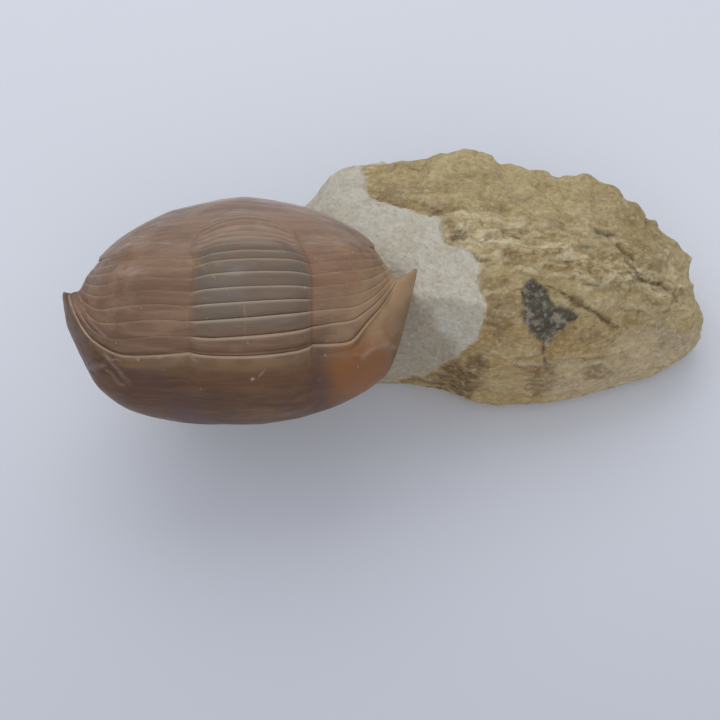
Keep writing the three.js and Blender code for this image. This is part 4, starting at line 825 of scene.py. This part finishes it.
def build_rock(mat):
    me, P, ed = grow_rock()
    N0 = vertex_normals(me, P)
    floor = smooth((P[:, 2] - 0.05) / 1.2)                        # keeps the flat base
    # nearness to the shell: the cast of the animal keeps its shape
    probe_u = np.linspace(0, UEND, 60)
    probe_v = np.linspace(-7, 7, 57)
    B = base(probe_u, probe_v) + normals(probe_u, probe_v) * (relief(probe_u[:, None], probe_v[None, :]) - 0.8)[:, :, None]
    B = B.reshape(-1, 3)
    from mathutils.kdtree import KDTree
    kd = KDTree(len(B))
    for i, b in enumerate(B):
        kd.insert(b, i)
    kd.balance()
    near = np.array([kd.find(p)[2] for p in P])
    free = smooth((near - 1.6) / 2.2)
    P0 = P.copy()
    soft = np.where(P[:, 0] < 14, 1.0, 0.0)
    still = np.where(P[:, 2] < 0.4, 0, 1)
    P = relax(P, ed, 0.55 * np.clip(free * 1.3, 0.15, 1) * still, 7)
    P = relax(P, ed, 0.6 * free * still * smooth((16 - P[:, 0]) / 6), 52)
    N = vertex_normals(me, P)
    P = P + N * (np.clip(((P0 - P) * N).sum(1), 0, 2) * 0.7)[:, None]
    N = vertex_normals(me, P)
    # the slanting plane of the markings
    X, Wp = P[:, 0], 0.866 * P[:, 1] + 0.5 * P[:, 2]
    facing = smooth((-0.5 * N[:, 1] + 0.866 * N[:, 2] - 0.02) / 0.3)
    wob = np.stack([1.1 * fbm(P * 0.3, 3, 5), 1.1 * fbm(P * 0.3, 3, 9)], -1)
    wob2 = np.stack([0.5 * fbm(P * 0.8, 3, 6), 0.5 * fbm(P * 0.8, 3, 8)], -1)
    prepared = inside(PREPARED, X + wob[:, 0] * 0.7 + wob2[:, 0] * 0.8, Wp + wob[:, 1] * 0.7 + wob2[:, 1] * 0.8, 0.28)
    # round the back and underneath the prepared zone ends on a plain x position
    behind = smooth((3.0 + 9.0 * fbm(P * 0.09, 3, 15) + 2.5 * fbm(P * 0.4, 3, 16) - P[:, 0]) / 1.6)
    prepared = prepared * facing + behind * (1 - facing)
    raw = 1 - prepared
    work = free * floor
    # flat breaks
    rng = np.random.default_rng(7)
    cand = np.where((work > 0.95) & (raw > 0.6))[0]
    Ns = N.copy()
    Pd = P.copy()
    for i in rng.choice(cand, 170, replace=False):
        c = P[i]
        nn = Ns[i] + rng.normal(0, 0.16, 3)
        nn /= np.linalg.norm(nn)
        R = rng.uniform(3.5, 9.5)
        dist = np.linalg.norm((Pd - c) * [0.75, 1, 1], axis=1)
        s = (Pd - c) @ nn + rng.uniform(0.0, 0.4)
        cut = np.clip(s, 0, 1.2) * smooth((R - dist) / (0.2 * R)) * work * np.clip(raw + 0.05, 0, 1)
        Pd -= nn[None] * cut[:, None] * 0.9
    P = Pd
    N = vertex_normals(me, P)
    # many small chips
    for i in rng.choice(cand, 420, replace=False):
        c = P[i]
        nn = N[i] + rng.normal(0, 0.22, 3)
        nn /= np.linalg.norm(nn)
        R = rng.uniform(1.2, 3.6)
        near_c = np.abs(P[:, 0] - c[0]) < R * 1.3
        Q = P[near_c]
        dist = np.linalg.norm((Q - c) * [0.7, 1.1, 1.1], axis=1)
        s = (Q - c) @ nn + rng.uniform(0.02, 0.16)
        cut = np.clip(s, 0, 0.6) * smooth((R - dist) / (0.25 * R)) * (work * raw)[near_c]
        P[near_c] = Q - nn[None] * cut[:, None]
    N = vertex_normals(me, P)
    # thin beds broken into steps
    top = smooth((N[:, 2] - 0.25) / 0.4)
    warp = 1.3 * fbm(P * [0.05, 0.10, 0.10], 3, 41) + 0.35 * fbm(P * [0.25, 0.5, 0.5], 3, 43)
    pitch = 1.15
    zz = (P[:, 2] + warp) / pitch
    fr = zz - np.floor(zz)
    stair = (smooth((fr - 0.5) / 0.16 + 0.5) - fr) * pitch
    zone = np.clip(0.55 + 1.1 * fbm(P * 0.09, 2, 47), 0, 1)
    disp_z = stair * 0.20 * zone * work * raw * top
    side = (1 - top)
    bed = fbm(P * [0.10, 0.10, 0.95], 4, 51)
    disp = side * raw * 0.30 * bed
    warpP = P + 0.5 * wob2[:, :1] * [1, 0.6, 0.6]
    busy_line = 21.6 - 0.25 * (X - 8)
    busy = gauss((Wp - busy_line) / 3.6) * smooth((X - 2) / 6) * smooth((52 - X) / 6) * facing
    ridged = 1 - np.abs(fbm(P * [0.17, 0.85, 0.85], 4, 131)) * 2.4
    ridged2 = 1 - np.abs(fbm(P * [0.55, 1.5, 1.5], 3, 137)) * 2.4
    lively = 0.34 + 1.0 * busy + 0.5 * smooth((X - 36) / 6)
    disp += raw * (0.60 * np.clip(0.55 + 0.5 * busy + 0.4 * smooth((X - 37) / 6) + 0.2 * smooth((8 - Wp) / 4), 0, 1) * facets(warpP * [0.095, 0.16, 0.20], 61) + lively * (0.34 * facets(warpP * [0.26, 0.5, 0.6], 63)
                   + 0.17 * facets(warpP * [0.7, 1.3, 1.5], 64)) + 0.07 * fbm(P * [0.8, 1.8, 1.8], 3, 67))
    disp += raw * (0.01 + 0.13 * busy) * ridged + raw * (0.02 + 0.05 * busy) * ridged2
    # prepared zone: tooled, granular
    disp += prepared * (0.20 * fbm(P * 0.22, 3, 81) + 0.15 * fbm(P * 0.9, 3, 83) + 0.20 * facets(P * 1.15, 85) + 0.20 * fbm(P * 1.4, 2, 86))
    # ledges and cracks
    lx, lw = X + wob2[:, 0], Wp + wob2[:, 1] * 0.8
    # painted shade in the hollows of the ridged relief
    painted_cavity_shade = smooth((0.25 - ridged) / 0.5) * busy * 0.55 + smooth((0.1 - ridged2) / 0.4) * 0.22 * raw
    # painted highlight on the crests of the ridged relief
    painted_edge_highlight = smooth((ridged - 0.78) / 0.2) * (0.12 + 0.5 * busy) * raw
    broken = np.clip(0.55 + 2.2 * fbm(P * [0.22, 0.4, 0.4], 2, 161), 0, 1)
    for pts, a in LEDGES:
        best = np.full(len(P), 1e9)
        sgn = np.zeros(len(P))
        for (ax, aw), (bx, bw) in zip(pts[:-1], pts[1:]):
            ex, ew = bx - ax, bw - aw
            t = np.clip(((lx - ax) * ex + (lw - aw) * ew) / (ex * ex + ew * ew), 0, 1)
            dx, dw = lx - ax - t * ex, lw - aw - t * ew
            dd = np.hypot(dx, dw)
            s = np.sign(-ew * dx + ex * dw)
            sgn = np.where(dd < best, s, sgn)
            best = np.minimum(best, dd)
        sd = best * sgn                                            # positive above the ledge
        step = -a * 1.15 * smooth((0.35 - sd) / 0.7) * smooth((3.2 + sd) / 3.0) * (best < 3.4)
        disp += step * facing * raw * 0.5 * broken
        # painted shade just under each ledge
        painted_cavity_shade = np.maximum(painted_cavity_shade, gauss((sd + 0.25) / 0.26) * a * 1.2 * facing * broken)
        # painted highlight on each ledge lip
        painted_edge_highlight = np.maximum(painted_edge_highlight, gauss((sd - 0.45) / 0.35) * a * 1.2 * facing * broken)
    brow = line(BROW, lx * 0.5 + X * 0.5, lw * 0.5 + Wp * 0.5)
    under = smooth((np.interp(X, [b[0] for b in BROW], [b[1] for b in BROW]) - Wp) / 0.8) * smooth((X - 22) / 5) * facing
    disp += 0.50 * np.exp(-brow / 1.1) * facing * raw * smooth((X - 22) / 5) - 0.25 * under * raw
    for pts, wd, dp in CRACKS:
        d = line(pts, lx, lw)
        g = gauss(d / wd) * facing
        disp -= g * dp
        # painted shade in the cracks
        painted_cavity_shade = np.maximum(painted_cavity_shade, g * 1.3)
    patch = inside(PATCH, X + wob2[:, 0] * 0.7, Wp + wob2[:, 1] * 0.7, 0.25) * facing
    disp -= patch * (0.35 + 0.22 * fbm(P * 1.3, 3, 91))
    # pits
    cells = noise(P * 0.62, 101) - 0.35 * noise(P * 1.7, 103)
    pit = smooth((cells - 0.60) / 0.14) * raw * top * (0.3 + busy)
    disp -= pit * 0.25
    # painted shade in the pits
    painted_cavity_shade = np.maximum(painted_cavity_shade, pit)
    disp *= work
    # apply the displacement along the normals and the bed steps upwards
    P = P + N * disp[:, None]
    P[:, 2] += disp_z
    # keep the overall shape of the block: take out the slow part of everything done above
    slow = ((P - P0) * N0).sum(1)
    deg = np.bincount(ed.ravel(), minlength=len(P)).astype(float)
    for _ in range(70):
        slow = 0.3 * slow + 0.7 * (np.bincount(ed[:, 0], slow[ed[:, 1]], len(P)) + np.bincount(ed[:, 1], slow[ed[:, 0]], len(P))) / deg
    P = P - N0 * (slow * work * (0.35 + 0.65 * raw))[:, None]
    # corners and dents of the outline
    up = table(SHIFT_UP, X) * smooth((Wp - 17) / 9) * work
    P[:, 1] += 0.866 * up
    P[:, 2] += 0.5 * up
    P[:, 0] += table(SHIFT_OUT, Wp) * smooth((X - 37) / 7) * work
    # the foot is a little undercut where it meets the table
    foot = smooth((2.4 - P[:, 2]) / 2.4) * (N0[:, 2] > -0.6)
    H = N0 * [1, 1, 0]
    P = P - H / np.maximum(np.linalg.norm(H, axis=1, keepdims=True), 0.3) * (foot * 0.95)[:, None]
    # take off lone spikes
    for _ in range(3):
        mean = np.stack([(np.bincount(ed[:, 0], P[ed[:, 1], k], len(P)) + np.bincount(ed[:, 1], P[ed[:, 0], k], len(P))) / deg for k in range(3)], -1)
        gap = mean - P
        P = P + gap * (0.8 * smooth((np.linalg.norm(gap, axis=1) - 0.12) / 0.12) * work)[:, None]
    P[:, 2] = np.maximum(P[:, 2], 0.0)
    vertex_normals(me, P)
    me.shade_smooth()
    ob = bpy.data.objects.new("limestone_rock", me)
    bpy.context.scene.collection.objects.link(ob)
    ochre = np.zeros(len(P))
    for poly, a in OCHRE:
        ochre = np.maximum(ochre, inside(poly, X + wob2[:, 0], Wp + wob2[:, 1], 0.5) * a * facing)
    # soft colour spots: brown stains with some painted shade, cream and mauve stains
    def colour_spots(spots):
        g = np.zeros(len(P))
        for x0, w0, rx, rw, a in spots:
            e = np.hypot((lx - x0) / rx, (lw + 0.5 * wob[:, 1] - w0) / rw)
            g = np.maximum(g, a * smooth((1.25 - e + 0.5 * fbm(P * [0.5, 1.1, 1.1], 3, 171)) / 0.6))
        return g * facing * raw
    streaks = np.clip(0.5 + 1.6 * fbm(P * [0.35, 1.5, 1.5], 3, 175), 0, 1)
    brown_stain_shade_raw, cream_s, mauve_s = colour_spots(BROWN_STAINS_AND_SHADE) * (0.5 + 0.5 * streaks), colour_spots(CREAM) * (0.45 + 0.55 * (1 - streaks)), colour_spots(MAUVE)
    green = facing * (gauss(np.hypot(X - 30.8, (Wp - 17.9) * 1.4) / 1.1) + 0.7 * gauss(np.hypot(X - 33.5, (Wp - 20.2) * 1.4) / 1.2))
    grey = np.maximum(smooth((X - 34 + 0.9 * (2 - Wp)) / 5.0) * smooth((6.5 - Wp) / 3.0) * smooth((0.8 - N[:, 2]) / 0.3),
                      0.9 * under) * raw
    warmth = smooth((9.5 - Wp + 1.6 * fbm(P * 0.2, 3, 111)) / 5) * smooth((40 - X) / 10)
    rough_zone = smooth((0.2 + 1.2 * fbm(P * [0.1, 0.25, 0.25], 3, 121)))
    # painted shade: the lower, front-facing part of the prepared zone is coloured darker
    painted_low_shade = smooth((12.2 - 1.25 * np.clip(X - 2.6, -2, 9) - Wp + 2.0 * fbm(P * 0.3, 3, 125)) / 4.0) * prepared
    brown_stain_and_shade = np.clip(brown_stain_shade_raw, 0, 1)
    put(ob, "prepared", np.clip(prepared, 0, 1))
    put(ob, "patch", np.clip(patch, 0, 1))
    put(ob, "painted_cavity_shade", np.clip(painted_cavity_shade, 0, 1))
    put(ob, "painted_edge_highlight", np.clip(painted_edge_highlight, 0, 1))
    put(ob, "ochre", np.clip(ochre, 0, 1))
    put(ob, "green", np.clip(green, 0, 1))
    put(ob, "grey", np.clip(grey, 0, 1))
    put(ob, "warmth", np.clip(warmth, 0, 1))
    put(ob, "streaky", np.clip(rough_zone, 0, 1))
    put(ob, "painted_low_shade", np.clip(painted_low_shade, 0, 1))
    put(ob, "busy", np.clip(busy, 0, 1))
    put(ob, "brown_stain_and_shade", np.clip(brown_stain_and_shade, 0, 1))
    put(ob, "cream", np.clip(cream_s, 0, 1))
    put(ob, "mauve", np.clip(mauve_s, 0, 1))
    me.materials.clear()
    me.materials.append(mat)
    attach(ob, "root")
    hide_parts("matrix")
    return ob


def rock_material():
    m = Nodes("weathered_limestone")
    broad = m.noise(60, 5, 0.6, (0.6, 1, 1), 0.3)
    beds = m.noise(210, 8, 0.72, (0.36, 1, 1.2), 0.8)
    hair = m.noise(520, 6, 0.7, (0.32, 1, 1.2), 0.5)
    grain = m.noise(1000, 6, 0.75)
    specks = m.noise(480, 4, 0.65)
    crust = m.mix(m.map(broad, 0.40, 0.60), lin(*CRUST_DARK), lin(*CRUST))
    crust = m.mix(m.math("MULTIPLY", m.attr("warmth"), 0.75), crust, lin(*CRUST_WARM))
    crust = m.mix(m.math("MULTIPLY", m.attr("grey"), 0.75), crust, lin(*CRUST_GREY))
    # brown stains, with painted shade low on the front left
    crust = m.mix(m.math("MULTIPLY", m.attr("brown_stain_and_shade"), 0.85), crust, lin(120, 92, 58))
    crust = m.mix(m.math("MULTIPLY", m.attr("mauve"), 0.42), crust, lin(150, 130, 120))
    crust = m.mix(m.math("MULTIPLY", m.attr("cream"), 0.80), crust, lin(*CRUST_PALE))
    crust = m.mix(m.math("MULTIPLY", m.map(beds, 0.52, 0.66), m.math("ADD", m.math("MULTIPLY", m.attr("busy"), 0.50), 0.26)), crust, lin(*CRUST_PALE))
    crust = m.mix(m.math("MULTIPLY", m.map(beds, 0.46, 0.34), m.math("ADD", m.math("MULTIPLY", m.attr("busy"), 0.60), 0.25)), crust, lin(*CRUST_BROWN))
    crust = m.mix(m.math("MULTIPLY", m.math("MULTIPLY", m.map(hair, 0.50, 0.62), 0.75), m.math("ADD", m.attr("busy"), 0.24)), crust, lin(*CRUST_CREAM))
    crust = m.mix(m.math("MULTIPLY", m.math("MULTIPLY", m.map(hair, 0.46, 0.36), 0.70), m.math("ADD", m.attr("busy"), 0.22)), crust, lin(*CRUST_BROWN))
    crust = m.mix(m.math("MULTIPLY", m.map(m.noise(140, 6, 0.7, (0.5, 1, 1)), 0.57, 0.66), 0.30), crust, lin(*CRUST_PALE))
    crust = m.mix(m.math("MULTIPLY", m.map(grain, 0.54, 0.66), 0.36), crust, lin(104, 82, 54))
    crust = m.mix(m.math("MULTIPLY", m.map(grain, 0.46, 0.34), 0.34), crust, lin(*CRUST_CREAM))
    # deeper brown in the same stains and painted shade
    crust = m.mix(m.math("MULTIPLY", m.math("POWER", m.attr("brown_stain_and_shade"), 1.5), 0.75), crust, lin(104, 80, 54))
    crust = m.mix(m.math("MULTIPLY", m.attr("ochre"), 0.62), crust, lin(*OCHRE_C))
    # painted highlight on crests and ledge lips
    crust = m.mix(m.math("MULTIPLY", m.attr("painted_edge_highlight"), 0.60), crust, lin(*CRUST_CREAM))
    # painted shade in hollows, cracks, pits and under ledges
    crust = m.mix(m.math("MULTIPLY", m.attr("painted_cavity_shade"), 0.76), crust, lin(78, 59, 41))
    crust = m.mix(m.math("MULTIPLY", m.attr("green"), 0.6), crust, lin(92, 104, 88))
    prep = m.mix(m.map(m.noise(340, 6, 0.75), 0.42, 0.58), lin(*PREP_DARK), lin(*PREP))
    # painted shade on the lower prepared zone
    prep = m.mix(m.math("MULTIPLY", m.attr("painted_low_shade"), 0.70), prep, lin(*PREP_PAINTED_SHADE))
    prep = m.mix(m.math("MULTIPLY", m.map(specks, 0.57, 0.67), 0.28), prep, lin(198, 182, 150))
    prep = m.mix(m.math("MULTIPLY", m.map(grain, 0.55, 0.66), 0.28), prep, lin(168, 158, 138))
    tiny = m.noise(1500, 3, 0.65)
    prep = m.mix(m.math("MULTIPLY", m.map(tiny, 0.50, 0.66), 0.30), prep, lin(178, 165, 140))
    prep = m.mix(m.math("MULTIPLY", m.map(tiny, 0.47, 0.34), 0.26), prep, lin(246, 240, 224))
    thread = m.noise(1400, 4, 0.65, (0.7, 1, 1.1), 0.3)
    crust = m.mix(m.math("MULTIPLY", m.map(thread, 0.54, 0.66), 0.30), crust, lin(112, 88, 56))
    crust = m.mix(m.math("MULTIPLY", m.map(thread, 0.46, 0.34), 0.30), crust, lin(*CRUST_CREAM))
    c = m.mix(m.attr("prepared"), crust, prep)
    pn = m.mix(m.map(m.noise(560, 5, 0.7), 0.48, 0.62), lin(72, 73, 65), lin(158, 154, 138))
    pn = m.mix(m.math("MULTIPLY", m.map(m.noise(300, 3, 0.5), 0.54, 0.66), 0.55), pn, lin(96, 72, 68))
    pn = m.mix(m.math("MULTIPLY", m.map(m.noise(900, 2, 0.5), 0.62, 0.68), 0.5), pn, lin(176, 166, 146))
    c = m.mix(m.math("MULTIPLY", m.attr("patch"), 0.92), c, pn)
    rough = m.map(m.noise(400, 3, 0.6), 0.3, 0.7, 0.78, 0.95)
    h = m.math("ADD", m.math("MULTIPLY", grain, 0.6), m.math("MULTIPLY", hair, 0.8))
    return m.finish(c, rough, [(beds, 0.0010, 0.5), (h, 0.0008, 0.7), (m.math("MULTIPLY", thread, m.map(m.attr("prepared"), 1.0, 0.0)), 0.0006, 0.7), (m.math("MULTIPLY", m.noise(1250, 5, 0.75), m.attr("prepared")), 0.0013, 0.8), (m.noise(2400, 4, 0.75), 0.00022, 0.6)], 1.45)


CRUST_CREAM = (238, 225, 190)
CRUST = (200, 180, 132)
CRUST_DARK = (176, 153, 106)
CRUST_PALE = (218, 200, 155)
CRUST_BROWN = (132, 104, 64)
CRUST_WARM = (186, 154, 100)
CRUST_GREY = (208, 186, 152)
OCHRE_C = (206, 182, 142)
PREP = (251, 245, 228)
PREP_DARK = (238, 230, 208)
PREP_PAINTED_SHADE = (194, 175, 149)

rock = build_rock(rock_material())

# ------------------------------------------------------------------ stage
def add_floor():
    m = Nodes("pale_card")
    c = m.mix(m.map(m.noise(6, 3, 0.5), 0.3, 0.7), lin(*FLOOR_A), lin(*FLOOR_B))
    sep = m.t.nodes.new("ShaderNodeSeparateXYZ")
    m.link(m.co, sep.inputs[0])
    # painted shade: the card darkens towards the camera
    c = m.mix(m.map(sep.outputs[1], 0.02, -0.12), c, lin(*FLOOR_PAINTED_SHADE))
    mat = m.finish(c, m.map(m.noise(900, 2, 0.5), 0.3, 0.7, 0.8, 0.9), [(m.noise(1400, 2, 0.5), 0.00005, 0.2)], 1.4)
    s = 3.0
    me = bpy.data.meshes.new("floor")
    me.from_pydata([(-s, -s, -0.00002), (s, -s, -0.00002), (s, s, -0.00002), (-s, s, -0.00002)], [], [(0, 1, 2, 3)])
    ob = bpy.data.objects.new("floor", me)
    bpy.context.scene.collection.objects.link(ob)
    me.materials.append(mat)


KEY, FRONT, FILL, AMBIENT = 0.66, 1.75, 0.42, 0.57
FLOOR_PAINTED_SHADE = (194, 198, 211)
FLOOR_A = (224, 228, 238)
FLOOR_B = (222, 226, 237)
add_floor()


def area(name, loc, target, size, power, color):
    d = bpy.data.lights.new(name, "AREA")
    d.shape = "RECTANGLE"
    d.size, d.size_y = size
    d.energy = power
    d.color = color
    ob = bpy.data.objects.new(name, d)
    bpy.context.scene.collection.objects.link(ob)
    ob.location = loc
    ob.rotation_euler = (Vector(target) - Vector(loc)).to_track_quat("-Z", "Y").to_euler()
    return ob


T0 = (-0.006, -0.005, 0.01)
area("window", (-0.06, 0.27, 0.42), T0, (0.46, 0.36), KEY, (1.0, 0.99, 0.975))
area("room", (0.12, -0.74, 0.70), T0, (0.9, 0.7), FRONT, (1.0, 0.99, 0.98))
area("side", (-0.62, -0.05, 0.70), T0, (0.6, 0.6), FILL, (0.97, 0.985, 1.0))

world = bpy.data.worlds.new("soft_room")
bpy.context.scene.world = world
world.use_nodes = True
bg = world.node_tree.nodes.get("Background") or world.node_tree.nodes.new("ShaderNodeBackground")
bg.inputs[0].default_value = (0.94, 0.96, 1.0, 1.0)
bg.inputs[1].default_value = AMBIENT

cam_data = bpy.data.cameras.new("camera")
cam_data.lens = 75.2
cam_data.sensor_width = 36.0
cam_data.clip_start = 0.01
cam_data.clip_end = 20
cam = bpy.data.objects.new("camera", cam_data)
bpy.context.scene.collection.objects.link(cam)
eye_at, look_at = Vector((-0.00602, -0.13269, 0.229116)), Vector((-0.00602, -0.01519, 0.0256))
cam.location = eye_at
cam.rotation_euler = (look_at - eye_at).to_track_quat("-Z", "Y").to_euler()
bpy.context.scene.camera = cam
bpy.context.scene.view_settings.view_transform = "Standard"
bpy.context.scene.view_settings.look = "None"
